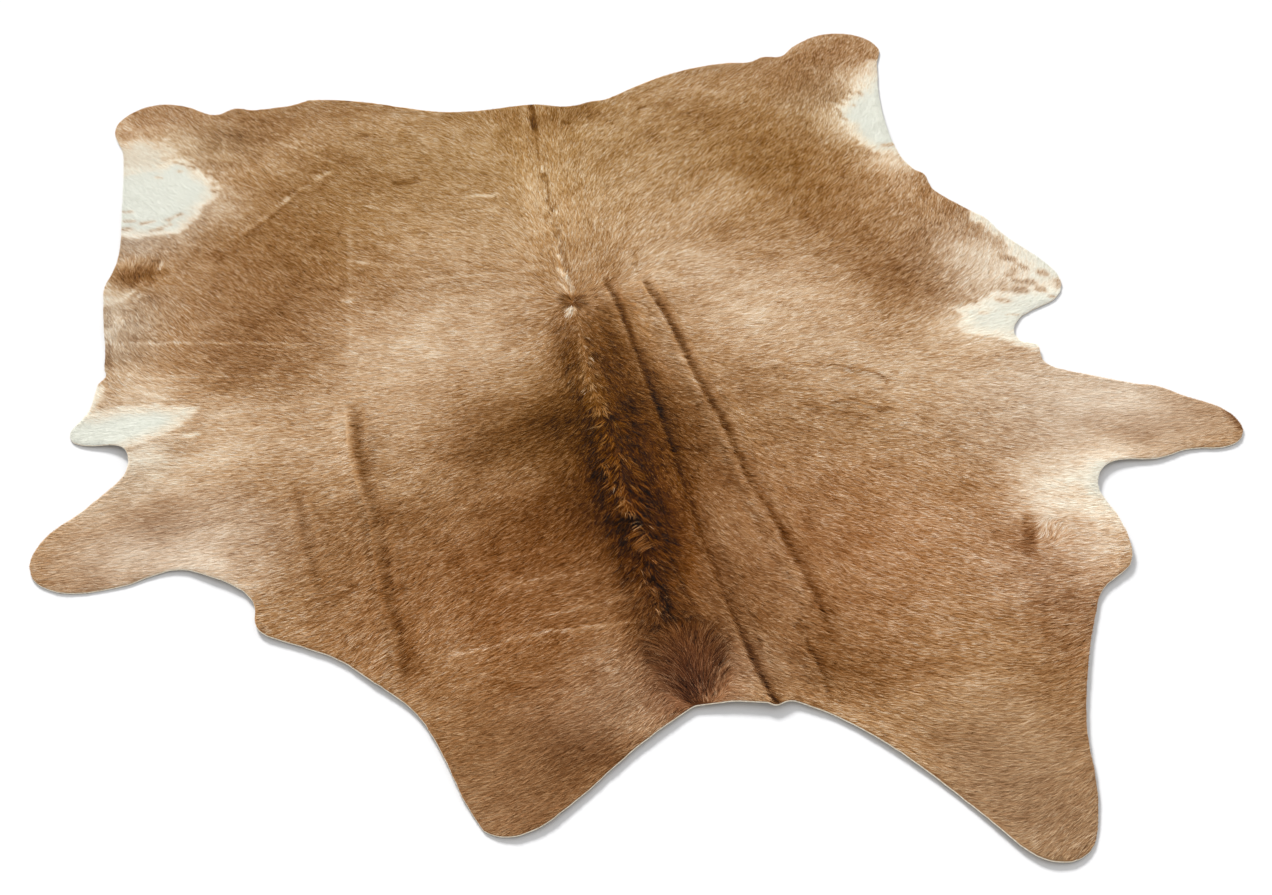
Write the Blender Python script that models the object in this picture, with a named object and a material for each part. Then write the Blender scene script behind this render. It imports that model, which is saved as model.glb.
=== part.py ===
"""Cowhide rug: one whole tanned hide with the hair on, lying flat on a floor.

Metres, +Z up. The spine runs along Y, the rump toward +Y and the neck toward -Y, and the origin
is on the floor under the middle of the hide. The skin lies on the floor in its middle and at
the tips of its shanks, and is a little off it at its curled edges and along the folds that it
keeps from being packed.
"""

import math
from collections import namedtuple

import bmesh
import bpy
import numpy as np
from mathutils import Vector
from mathutils.geometry import delaunay_2d_cdt, interpolate_bezier

# Driving dimensions
HIDE_LENGTH = 2.300  # from the hind shanks to the tip of the right neck lobe
DRAWN_LENGTH = 2.300  # the same length in the tables below, which are scaled to HIDE_LENGTH
SKIN_THICKNESS = 0.0025
COAT_THICKNESS = 0.0040  # the short hair, lying down
COAT_AT_EDGE = 0.0020  # and where it thins out at the cut edge

# How finely the sheet is divided
STEPS_PER_BEND = 5  # chords between two bends of the edge
FIELD_PITCH = 0.046  # between points on the open hide
FOLD_PITCH = 0.040  # between points along a fold
EDGE_CLEARANCE = 0.36  # of FIELD_PITCH, kept free inside the edge
FOLD_CLEARANCE = 0.55  # of FIELD_PITCH, kept free round the folds' own points
CLOSEST_POINTS = 0.012  # between two folds' points
TOUCHING = 0.0001
HANDLE_SHARE = 0.36  # of the way to the next bend that the edge keeps its heading

# The cut edge, clockwise from above, one short table for each section of it. A row is a bend:
# where it is, and which way the edge heads there, in degrees from +X
Bend = namedtuple("Bend", "x y heading")
EDGE_SECTIONS = {
    "left hind shank": [
        (-0.901, 0.955, 92),
        (-0.920, 1.055, 92),
        (-0.825, 1.149, 0),
        (-0.762, 1.128, -28),
        (-0.700, 1.080, -8),
    ],
    "rump": [
        (-0.657, 1.094, 0),
        (-0.618, 1.080, -5),
        (-0.545, 1.079, 0),
        (-0.490, 1.093, 0),
        (-0.240, 0.996, -23),
        (-0.120, 0.974, -3),
        (-0.012, 0.975, -6),
        (0.072, 0.951, 0),
        (0.117, 0.961, 8),
        (0.152, 0.964, 14),
        (0.225, 1.002, 28),
        (0.330, 1.046, 14),
        (0.450, 1.061, 1),
        (0.508, 1.055, 2),
        (0.553, 1.072, 0),
        (0.583, 1.067, 8),
    ],
    "right hind shank": [
        (0.625, 1.104, 38),
        (0.732, 1.150, 0),
        (0.826, 1.068, -88),
        (0.800, 0.990, -107),
        (0.749, 0.800, -101),
        (0.728, 0.625, -91),
        (0.738, 0.556, -72),
    ],
    "right flank and its flap": [
        (0.756, 0.525, -88),
        (0.757, 0.462, -70),
        (0.800, 0.380, -60),
        (0.828, 0.330, -84),
        (0.893, 0.160, -76),
        (0.878, 0.083, -128),
        (0.800, 0.040, -156),
        (0.748, -0.045, -68),
        (0.768, -0.056, -35),
        (0.766, -0.108, -88),
    ],
    "right fore shank": [
        (0.802, -0.148, -28),
        (0.900, -0.203, -28),
        (0.940, -0.219, -28),
        (0.985, -0.260, -36),
        (1.045, -0.340, -90),
        (1.003, -0.396, -165),
        (0.925, -0.391, 180),
        (0.860, -0.402, 182),
        (0.790, -0.396, 182),
        (0.728, -0.465, -92),
        (0.733, -0.530, -91),
        (0.718, -0.617, -112),
    ],
    "right neck lobe": [
        (0.655, -0.666, -148),
        (0.603, -0.735, -122),
        (0.538, -0.858, -116),
        (0.493, -0.980, -104),
        (0.441, -1.122, -122),
        (0.388, -1.150, 180),
        (0.298, -1.048, 120),
        (0.220, -0.922, 126),
    ],
    "neck": [
        (0.109, -0.806, 146),
        (0.089, -0.796, 182),
        (0.064, -0.801, 172),
        (0.046, -0.792, 160),
        (-0.050, -0.775, 176),
        (-0.066, -0.781, 206),
        (-0.121, -0.812, 210),
    ],
    "left neck lobe": [
        (-0.280, -0.922, 212),
        (-0.352, -0.949, 180),
        (-0.399, -0.922, 112),
        (-0.453, -0.727, 110),
        (-0.520, -0.628, 130),
        (-0.590, -0.554, 146),
        (-0.660, -0.509, 150),
        (-0.690, -0.470, 98),
        (-0.693, -0.418, 112),
    ],
    "left fore shank": [
        (-0.750, -0.357, 146),
        (-0.805, -0.324, 168),
        (-0.900, -0.341, 184),
        (-0.985, -0.337, 162),
        (-1.043, -0.270, 95),
        (-1.023, -0.205, 56),
        (-0.956, -0.145, 46),
        (-0.905, -0.094, 42),
    ],
    "left flap and flank": [
        (-0.908, 0.001, 154),
        (-0.975, 0.026, 142),
        (-0.986, 0.064, 62),
        (-0.952, 0.120, 78),
        (-0.943, 0.177, 80),
        (-0.931, 0.194, 50),
        (-0.930, 0.225, 88),
        (-0.935, 0.450, 89),
        (-0.914, 0.545, 78),
        (-0.903, 0.680, 90),
    ],
}
EDGE = [Bend(*row) for rows in EDGE_SECTIONS.values() for row in rows]

# Folds left from packing. Each is a valley that touches the floor between two raised lips. It
# runs from (x0, y0) to (x1, y1) and bows sideways by bow at its middle; half_width is from the
# valley to where the lips have gone, and lip is how high they rise.
Fold = namedtuple("Fold", "name x0 y0 x1 y1 bow half_width lip")
FOLDS = [
    Fold("beside_the_spine", 0.024, 0.320, 0.063, -0.785, -0.002, 0.034, 0.0055),
    Fold("right_shoulder", 0.096, 0.320, 0.187, -0.690, 0.003, 0.036, 0.0060),
    Fold("right_neck", 0.142, -0.640, 0.154, -0.780, 0.000, 0.026, 0.0035),
    Fold("left_shoulder", -0.494, 0.020, -0.475, -0.640, 0.005, 0.034, 0.0045),
    Fold("left_fore_shank", -0.606, -0.170, -0.585, -0.420, 0.000, 0.028, 0.0025),
]
FOLD_OFFSETS = (-1.15, -0.5, 0.0, 0.5, 1.15)  # of half_width, where a fold has its own points
FOLD_RUN_OUT = 0.08  # share of a fold's length over which it fades at each end

# The cut edge dries a little curled, all the way round and more in some stretches than in others
EDGE_CURL = 0.0055
CURL_REACH = 0.034  # from the edge to where the skin lies flat again
CURL_CHANGE = 0.30  # share by which it grows and shrinks along the edge
CURL_STRETCH = 0.35  # metres from one stretch that curls most to the next

# The middle of the hide lies on the floor. Outside an oval this far across, to the sides and
# along the spine, the stiff skin rides a little above it
REST_WIDTH = 1.10
REST_LENGTH = 1.40
REST_EASE = 0.30  # share of the oval's size over which it leaves the floor
RIDE_HEIGHT = 0.0010

# Places on the edge that touch the floor, each a bend of the tables above: from there the edge
# rises evenly, and is as high as it would be without them at reach
Touch = namedtuple("Touch", "name x y reach")
TOUCHES = [
    Touch("left_hind_shank", -0.920, 1.055, 0.36),
    Touch("right_hind_shank", 0.826, 1.068, 0.36),
    Touch("right_flap", 0.878, 0.083, 0.20),
    Touch("right_flap_foot", 0.795, 0.030, 0.14),
    Touch("right_fore_shank", 1.045, -0.340, 0.34),
    Touch("right_neck_lobe", 0.441, -1.122, 0.16),
    Touch("left_neck_lobe", -0.399, -0.922, 0.13),
    Touch("left_fore_shank", -1.043, -0.270, 0.34),
    Touch("left_fore_shank_underside", -0.930, -0.345, 0.20),
    Touch("left_flap", -0.985, 0.045, 0.10),
]

# Places where the skin lifts off the floor: a soft mound at (x, y), reach wide and rise high
Lift = namedtuple("Lift", "name x y reach rise")
LIFTS = [
    Lift("left_hind_shank_tip", -0.880, 1.160, 0.260, 0.006),
    Lift("right_hind_shank_tip", 0.830, 1.150, 0.260, 0.006),
    Lift("rump_ruffle_1", -0.657, 1.125, 0.075, 0.007),
    Lift("rump_ruffle_2", -0.500, 1.130, 0.110, 0.006),
    Lift("rump_ruffle_3", 0.550, 1.100, 0.080, 0.005),
    Lift("left_flap_corner", -0.880, -0.030, 0.110, 0.012),
    Lift("left_flank_pucker_1", -0.965, 0.470, 0.090, 0.008),
    Lift("left_flank_pucker_2", -0.960, 0.330, 0.080, 0.006),
    Lift("right_fore_shank_tip", 1.080, -0.350, 0.190, 0.006),
    Lift("right_fore_shank_root", 0.780, -0.420, 0.100, 0.007),
    Lift("left_fore_shank_tip", -1.080, -0.290, 0.190, 0.006),
    Lift("left_fore_shank_root", -0.780, -0.360, 0.110, 0.007),
    Lift("right_shoulder_edge", 0.780, -0.560, 0.140, 0.007),
    Lift("left_neck_lobe", -0.380, -0.990, 0.220, 0.006),
    Lift("right_neck_lobe", 0.390, -1.190, 0.230, 0.006),
    Lift("neck_edge", 0.020, -0.830, 0.130, 0.010),
    Lift("left_belly_swell", -0.300, 0.420, 0.200, 0.0045),
    Lift("right_belly_swell", 0.420, 0.060, 0.220, 0.0050),
    Lift("right_rump_swell", 0.330, 0.720, 0.200, 0.0040),
    Lift("left_rump_swell", -0.520, 0.820, 0.190, 0.0045),
    Lift("left_shoulder_swell", -0.300, -0.380, 0.160, 0.0040),
    Lift("right_shoulder_swell", 0.400, -0.560, 0.190, 0.0045),
]

# Slow unevenness of a skin that never lies quite flat: waves that cross each other. Heading is
# the way a wave runs, in degrees from +X, and only what stands above WAVE_FLOOR leaves the floor.
Wave = namedtuple("Wave", "heading length phase rise")
WAVES = [
    Wave(12, 0.62, 0.40, 0.0016),
    Wave(78, 0.53, 2.10, 0.0015),
    Wave(138, 0.41, 4.00, 0.0012),
]
WAVE_FLOOR = 0.0008

# Longer hair along the spine: crest is how far it stands above the coat over a stretch in y
Crest = namedtuple("Crest", "name x y_from y_to half_width crest")
CRESTS = [
    Crest("tail_line", -0.022, 0.960, 0.300, 0.022, 0.0020),
    Crest("whorl", -0.050, 0.330, 0.190, 0.045, 0.0040),
    Crest("mane", -0.052, 0.220, -0.770, 0.060, 0.0090),
]
CREST_OFFSETS = (-1.0, -0.5, 0.0, 0.5, 1.0)  # of half_width, where a crest has its own points
CREST_RUN_OUT = 0.10  # share of a crest's length over which it fades at each end

COAT_COLOUR = (0.36, 0.21, 0.11, 1.0)
COAT_ROUGHNESS = 0.75


def edge_points():
    """The cut edge as a closed row of points, on smooth curves from bend to bend."""
    points = []
    for here, there in zip(EDGE, EDGE[1:] + EDGE[:1]):
        start, end = Vector((here.x, here.y)), Vector((there.x, there.y))
        reach = HANDLE_SHARE * (end - start).length
        leave, arrive = math.radians(here.heading), math.radians(there.heading)
        out_of = start + reach * Vector((math.cos(leave), math.sin(leave)))
        into = end - reach * Vector((math.cos(arrive), math.sin(arrive)))
        points += interpolate_bezier(start, out_of, into, end, STEPS_PER_BEND + 1)[:-1]
    return np.array([tuple(point) for point in points])


def fold_line(fold, share):
    """Points of a fold's valley at share (0 to 1) of its length, and its sideways direction."""
    start, end = np.array([fold.x0, fold.y0]), np.array([fold.x1, fold.y1])
    along = (end - start) / np.linalg.norm(end - start)
    side = np.array([-along[1], along[0]])
    bow = fold.bow * np.sin(np.pi * share)
    return start + share[:, None] * (end - start) + bow[:, None] * side, side


def fade(share, run_out):
    """1 along the middle of a stretch, easing to 0 over run_out at each end and past it."""
    ease = np.clip(np.minimum(share, 1 - share) / run_out, 0, 1)
    return ease * ease * (3 - 2 * ease)


def edge_gap(x, y, ring):
    """Distance of each point to the nearest side of the ring."""
    start, end = ring, np.roll(ring, -1, axis=0)
    side = end - start
    from_start = np.stack([x, y], axis=1)[:, None] - start[None]
    share = np.clip((from_start * side).sum(axis=2) / (side * side).sum(axis=1), 0, 1)
    return np.linalg.norm(from_start - share[:, :, None] * side, axis=2).min(axis=1)


def edge_curl(x, y, ring):
    """How high the skin curls up near the edge: a bend that steepens toward it."""
    nearness = np.clip(1 - edge_gap(x, y, ring) / CURL_REACH, 0, 1)
    turn = 2 * math.pi / CURL_STRETCH
    change = 1 + CURL_CHANGE * np.sin(turn * x) * np.cos(turn * y)
    return EDGE_CURL * change * nearness**1.5


def skin_lift(x, y, ring):
    """Height of the skin's underside: lips of folds, slow waves, mounds and the curled edge, all
    drawn down to the floor where the edge touches it."""
    height = np.zeros_like(x)
    for fold in FOLDS:
        start, end = np.array([fold.x0, fold.y0]), np.array([fold.x1, fold.y1])
        length = np.linalg.norm(end - start)
        along = (end - start) / length
        share = ((x - fold.x0) * along[0] + (y - fold.y0) * along[1]) / length
        across = (y - fold.y0) * along[0] - (x - fold.x0) * along[1]
        across = across - fold.bow * np.sin(np.pi * np.clip(share, 0, 1))
        # two lips: the square of the distance, cut down by a bell, is 1 at half the half width
        spread = (2 * across / fold.half_width) ** 2
        lips = spread * np.exp(1 - spread)
        height = np.maximum(height, fold.lip * lips * fade(share, FOLD_RUN_OUT))
    swell = np.full_like(x, -WAVE_FLOOR)
    for wave in WAVES:
        turn = math.radians(wave.heading)
        run = (x * math.cos(turn) + y * math.sin(turn)) / wave.length
        swell += wave.rise * np.sin(2 * math.pi * run + wave.phase)
    height = height + np.clip(swell, 0, None)
    for lift in LIFTS:
        away = np.hypot(x - lift.x, y - lift.y) / lift.reach
        height = height + lift.rise * np.clip(1 - away * away, 0, 1) ** 2
    outside = (np.hypot(2 * x / REST_WIDTH, 2 * y / REST_LENGTH) - 1) / REST_EASE
    height = height + RIDE_HEIGHT * np.clip(outside, 0, 1)
    height = np.hypot(height, edge_curl(x, y, ring))
    for touch in TOUCHES:
        height = height * np.clip(np.hypot(x - touch.x, y - touch.y) / touch.reach, 0, 1)
    return height


def pile_height(x, y):
    """Skin and lying coat together, with the longer hair along the spine."""
    crest = np.zeros_like(x)
    for line in CRESTS:
        share = (line.y_from - y) / (line.y_from - line.y_to)
        across = np.abs(x - line.x) / line.half_width
        ridge = np.clip(1 - across * across, 0, 1)
        crest = np.maximum(crest, line.crest * ridge * fade(share, CREST_RUN_OUT))
    return SKIN_THICKNESS + COAT_THICKNESS + crest


def near(points, others, distance):
    """Whether each point lies within distance of any of the others."""
    gaps = np.linalg.norm(points[:, None, :] - others[None, :, :], axis=2)
    return (gaps < distance).any(axis=1)


def inside(points, ring):
    """Whether each point lies inside the closed ring, by counting the sides it looks across."""
    x, y = points[:, :1], points[:, 1:]
    x0, y0 = ring[:, 0], ring[:, 1]
    x1, y1 = np.roll(x0, -1), np.roll(y0, -1)
    level = (y0 > y) != (y1 > y)
    rise = np.where(y1 == y0, 1.0, y1 - y0)
    crossing = x0 + (y - y0) * (x1 - x0) / rise
    return (level & (x < crossing)).sum(axis=1) % 2 == 1


def fold_points(edge):
    """Rows of points along each fold, at its valley, lips and feet, and along the crests."""
    rows = []
    for fold in FOLDS:
        length = math.hypot(fold.x1 - fold.x0, fold.y1 - fold.y0)
        share = np.linspace(0, 1, max(int(round(length / FOLD_PITCH)), 3))
        line, side = fold_line(fold, share)
        rows += [line + offset * fold.half_width * side for offset in FOLD_OFFSETS]
    for line in CRESTS:
        count = max(int(round((line.y_from - line.y_to) / FOLD_PITCH)), 3)
        y = np.linspace(line.y_from, line.y_to, count)
        for offset in CREST_OFFSETS:
            x = np.full(count, line.x + offset * line.half_width)
            rows.append(np.stack([x, y], axis=1))
    points = np.concatenate(rows)
    points = points[inside(points, edge)]
    points = points[~near(points, edge, EDGE_CLEARANCE * FIELD_PITCH)]
    kept = points[:1]
    for point in points[1:]:  # where two folds run close, the first one's points stand
        if not near(point[None], kept, CLOSEST_POINTS)[0]:
            kept = np.vstack([kept, point])
    return kept


def field_points(edge, folds):
    """A staggered grid over the rest of the hide, clear of the edge and of the folds' points."""
    low, high = edge.min(axis=0), edge.max(axis=0)
    row_pitch = FIELD_PITCH * math.sqrt(3) / 2
    rows = []
    for index, y in enumerate(np.arange(low[1] + row_pitch / 2, high[1], row_pitch)):
        start = low[0] + (0.5 if index % 2 else 0.0) * FIELD_PITCH
        x = np.arange(start, high[0], FIELD_PITCH)
        rows.append(np.stack([x, np.full_like(x, y)], axis=1))
    points = np.concatenate(rows)
    points = points[inside(points, edge)]
    points = points[~near(points, edge, EDGE_CLEARANCE * FIELD_PITCH)]
    return points[~near(points, folds, FOLD_CLEARANCE * FIELD_PITCH)]


def make_material():
    """The coat's middle colour, as a plain finish."""
    material = bpy.data.materials.new("caramel_coat")
    material.use_nodes = True
    shader = material.node_tree.nodes["Principled BSDF"]
    shader.inputs["Base Color"].default_value = COAT_COLOUR
    shader.inputs["Roughness"].default_value = COAT_ROUGHNESS
    shader.inputs["Metallic"].default_value = 0.0
    return material


def make_hide():
    """The whole hide as one closed sheet: flat triangles, drawn down to a skin and lifted."""
    edge = edge_points()
    folds = fold_points(edge)
    flat = np.concatenate([edge, folds, field_points(edge, folds)])
    ring = list(range(len(edge)))
    corners, _, triangles, *_ = delaunay_2d_cdt(
        [Vector(point) for point in flat], [], [ring], 1, 1e-6
    )

    sheet = bmesh.new()
    verts = [sheet.verts.new((corner.x, corner.y, 0.0)) for corner in corners]
    for triangle in triangles:
        sheet.faces.new([verts[index] for index in triangle])
    drawn = bmesh.ops.extrude_face_region(sheet, geom=sheet.faces[:], use_keep_orig=True)
    coat_side = {item for item in drawn["geom"] if isinstance(item, bmesh.types.BMVert)}

    plan = np.array([tuple(vert.co.xy) for vert in sheet.verts])
    x, y = plan[:, 0], plan[:, 1]
    thin = SKIN_THICKNESS + COAT_AT_EDGE
    pile = np.where(near(plan, edge, TOUCHING), thin, pile_height(x, y))
    scale = HIDE_LENGTH / DRAWN_LENGTH
    centre = (edge.min(axis=0) + edge.max(axis=0)) / 2
    for vert, place, lift, depth in zip(sheet.verts, plan, skin_lift(x, y, edge), pile):
        vert.co.xy = (place - centre) * scale
        vert.co.z = lift + (depth if vert in coat_side else 0.0)

    bmesh.ops.triangulate(sheet, faces=sheet.faces)
    bmesh.ops.recalc_face_normals(sheet, faces=sheet.faces)
    mesh = bpy.data.meshes.new("hide")
    sheet.to_mesh(mesh)
    sheet.free()
    mesh.shade_smooth()
    mesh.set_sharp_from_angle(angle=math.radians(40))
    mesh.materials.append(make_material())
    return bpy.data.objects.new("hide", mesh)


for old in list(bpy.data.objects):
    bpy.data.objects.remove(old, do_unlink=True)
rug = bpy.data.collections.new("cowhide_rug")
bpy.context.scene.collection.children.link(rug)
rug.objects.link(make_hide())
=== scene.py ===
"""Cowhide rug: the looks of one whole tanned hide with its hair on, lying flat on a pale floor.

Metres, +Z up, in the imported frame: the spine runs along Y with the rump toward +Y and the neck
toward -Y. The skin is one thin sheet on the frame's own outline and folds, and the coat on it is
made of single flat hairs that lie the way a hide's hair lies, outward from a whorl on the back.
"""

import math
from collections import namedtuple

import bmesh
import bpy
import numpy as np
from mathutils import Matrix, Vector
from mathutils.bvhtree import BVHTree
from mathutils.geometry import delaunay_2d_cdt


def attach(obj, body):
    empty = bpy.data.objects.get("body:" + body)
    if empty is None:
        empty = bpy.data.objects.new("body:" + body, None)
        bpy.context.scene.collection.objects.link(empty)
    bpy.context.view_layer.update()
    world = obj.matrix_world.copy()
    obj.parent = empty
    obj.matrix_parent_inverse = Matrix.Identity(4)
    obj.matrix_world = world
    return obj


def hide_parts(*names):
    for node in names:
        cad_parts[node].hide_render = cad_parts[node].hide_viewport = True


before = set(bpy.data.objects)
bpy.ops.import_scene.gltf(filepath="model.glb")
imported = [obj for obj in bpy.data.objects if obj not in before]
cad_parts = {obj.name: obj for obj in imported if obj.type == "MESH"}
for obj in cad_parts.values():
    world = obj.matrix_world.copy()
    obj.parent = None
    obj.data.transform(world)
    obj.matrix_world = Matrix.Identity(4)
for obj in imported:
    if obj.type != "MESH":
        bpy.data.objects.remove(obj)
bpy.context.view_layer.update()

# The viewpoint: a camera on a high stand on the neck side, left of the spine, looking down over
# the whole hide with a lens that sees 40 degrees across.
VIEW_FROM = (-0.490, -2.404, 2.045)
VIEW_DOWN = 42
VIEW_TURN = 11.97
VIEW_ACROSS = 40

lens = bpy.data.cameras.new("camera")
lens.sensor_width = 36
lens.lens = lens.sensor_width / 2 / math.tan(math.radians(VIEW_ACROSS / 2))
camera = bpy.data.objects.new("camera", lens)
camera.location = VIEW_FROM
camera.rotation_euler = (math.radians(90 - VIEW_DOWN), 0, math.radians(-VIEW_TURN))
bpy.context.scene.collection.objects.link(camera)
bpy.context.scene.camera = camera

# The cut edge and the plan: the edge is read from the frame's hide, where a knife trimmed it, and
# a square grid over the whole hide knows how far each place is inside it.
EDGE_STEPS = 3  # chords between two of the frame's edge corners
EDGE_WELD = 0.00002
UNDER_SLOPE = -0.7  # a face of the underside looks down at least this far
WALL_SLOPE = 0.3  # and one of the wall neither down nor up more than this
KNIFE_WOBBLE = 0.0007
KNIFE_NOISE = ((0.011, 11), (0.013, 12))  # size and seed, toward the flank and toward the rump
KNIFE_INSET = 0.0015  # the skin ends this far inside the frame's edge, its hair reaches to it
PLAN_PITCH = 0.002
PLAN_MARGIN = 0.05
EDGE_REACH = 0.05
LATTICE = 256
RING_STEPS = 2


def read_edge(node):
    """The frame's cut edge, in order: the sides that its wall shares with its underside."""
    solid = bmesh.new()
    solid.from_mesh(node.data)
    bmesh.ops.remove_doubles(solid, verts=solid.verts, dist=EDGE_WELD)
    follows = {}
    for side in solid.edges:
        slopes = [face.normal.z for face in side.link_faces]
        if min(slopes) < UNDER_SLOPE and abs(max(slopes)) < WALL_SLOPE:
            ends = [vert.index for vert in side.verts]
            follows.setdefault(ends[0], []).append(ends[1])
            follows.setdefault(ends[1], []).append(ends[0])
    ring = [min(follows), follows[min(follows)][0]]
    while len(ring) < len(follows):
        ring.append(next(end for end in follows[ring[-1]] if end != ring[-2]))
    solid.verts.ensure_lookup_table()
    corners = np.array([solid.verts[index].co[:2] for index in ring])
    solid.free()
    return corners


def eased_line(corners, steps, closed):
    """A smooth curve through the corners: cubic pieces, each aimed by its neighbours."""
    rows = np.asarray(corners, float)
    if closed:
        rows = np.concatenate([rows[-1:], rows, rows[:2]])
    else:
        rows = np.concatenate([2 * rows[:1] - rows[1:2], rows, 2 * rows[-1:] - rows[-2:-1]])
    before, start, end, after = (rows[k : len(rows) - 3 + k, None] for k in range(4))
    t = (np.arange(steps) / steps)[None, :, None]
    curve = start + 0.5 * t * (end - before)
    curve = curve + t**2 * (before - 2.5 * start + 2 * end - 0.5 * after)
    curve = curve + t**3 * (1.5 * (start - end) + 0.5 * (after - before))
    curve = curve.reshape(-1, rows.shape[1])
    return curve if closed else np.concatenate([curve, rows[-2:-1]])


def between(grid, i, j, i1, j1, u, v):
    """Values between a grid's columns i and i1 and rows j and j1, at shares u and v of the way."""
    near_row = grid[j, i] * (1 - u) + grid[j, i1] * u
    far_row = grid[j1, i] * (1 - u) + grid[j1, i1] * u
    return near_row * (1 - v) + far_row * v


def soft_noise(x, y, size, seed):
    """Smooth unevenness from -1 to 1: random values on a square lattice, eased in between."""
    lattice = np.random.default_rng(seed).uniform(-1, 1, (LATTICE, LATTICE))
    column, row = x / size + LATTICE / 2, y / size + LATTICE / 2
    i, j = np.floor(column).astype(int), np.floor(row).astype(int)
    u, v = column - i, row - j
    u, v = u * u * (3 - 2 * u), v * v * (3 - 2 * v)
    i, j, i1, j1 = (index % LATTICE for index in (i, j, i + 1, j + 1))
    return between(lattice, i, j, i1, j1, u, v)


def eased(value, low, high):
    """0 up to low, 1 from high on, and a smooth step between."""
    share = np.clip((value - low) / (high - low), 0, 1)
    return share * share * (3 - 2 * share)


def read_off(grid, x, y, pitch=PLAN_PITCH):
    """Values of a grid over the plan at any points, straight between its four nearest places."""
    column = np.clip((x - plan_low[0]) / pitch, 0, grid.shape[1] - 1.001)
    row = np.clip((y - plan_low[1]) / pitch, 0, grid.shape[0] - 1.001)
    i, j = column.astype(int), row.astype(int)
    return between(grid, i, j, i + 1, j + 1, column - i, row - j)


def fill_ring(ring):
    """1 inside the ring: each row's crossings with its sides switch the inside on and off."""
    (x0, y0), (x1, y1) = ring.T, np.roll(ring, -1, axis=0).T
    crossed = (y0 > plan_y[:, None]) != (y1 > plan_y[:, None])
    row, side = np.nonzero(crossed)
    share = (plan_y[row] - y0[side]) / (y1[side] - y0[side])
    column = np.ceil((x0[side] + share * (x1[side] - x0[side]) - plan_low[0]) / PLAN_PITCH)
    switches = np.zeros((len(plan_y), len(plan_x) + 1), int)
    np.add.at(switches, (row, np.clip(column.astype(int), 0, len(plan_x))), 1)
    return switches.cumsum(axis=1)[:, :-1] % 2


def window(x, y, room):
    """The part of the plan's grid that lies within room of a row of points."""
    i = ((np.array([np.min(x) - room, np.max(x) + room]) - plan_low[0]) / PLAN_PITCH).astype(int)
    j = ((np.array([np.min(y) - room, np.max(y) + room]) - plan_low[1]) / PLAN_PITCH).astype(int)
    return slice(max(j[0], 0), max(j[1] + 2, 0)), slice(max(i[0], 0), max(i[1] + 2, 0))


def inset_of(ring):
    """Distance inside a close-stepped ring, negative outside it, up to EDGE_REACH either way."""
    away = np.full(grid_x.shape, EDGE_REACH)
    for x, y in ring:
        part = window(x, y, EDGE_REACH)
        away[part] = np.minimum(away[part], np.hypot(grid_x[part] - x, grid_y[part] - y))
    return np.where(fill_ring(ring) > 0, away, -away)


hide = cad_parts["hide"]
cut = eased_line(read_edge(hide), EDGE_STEPS, True)
wobble = np.stack([soft_noise(*cut.T, *noise) for noise in KNIFE_NOISE], axis=1)
along_cut = np.roll(cut, -1, axis=0) - np.roll(cut, 1, axis=0)
along_cut /= np.linalg.norm(along_cut, axis=1)[:, None]
turns = np.cross(along_cut, np.roll(along_cut, -1, axis=0)).sum()
inward = math.copysign(1, turns) * np.stack([-along_cut[:, 1], along_cut[:, 0]], axis=1)
cut = cut + KNIFE_INSET * inward + KNIFE_WOBBLE * wobble
plan_low, plan_high = cut.min(axis=0) - PLAN_MARGIN, cut.max(axis=0) + PLAN_MARGIN
plan_x = np.arange(plan_low[0], plan_high[0], PLAN_PITCH)
plan_y = np.arange(plan_low[1], plan_high[1], PLAN_PITCH)
grid_x, grid_y = np.meshgrid(plan_x, plan_y)
inset = inset_of(eased_line(cut, RING_STEPS, True))


def inside_by(x, y):
    """How far inside the cut edge each point lies."""
    return read_off(inset, x, y)


# The creases that folding for the shipping box left in the hide. Seen along its route, a crease
# is a sharp little drop from its right-hand lip, and rises softly on its left: there the hair lies
# in its shade. That shade is painted: the hair along a crease is made darker, narrowly on the
# right and widely on the left, and the sharp lip's hair lighter, a painted highlight. A row of a
# route is a place and how many tones of painted shade the crease has there.
Crease = namedtuple("Crease", "name lip sharp soft route")


def rows_of(kind, rows):
    """A table with its columns named: a row of the kind for each row of values."""
    return [kind(*row) for row in rows]


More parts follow.
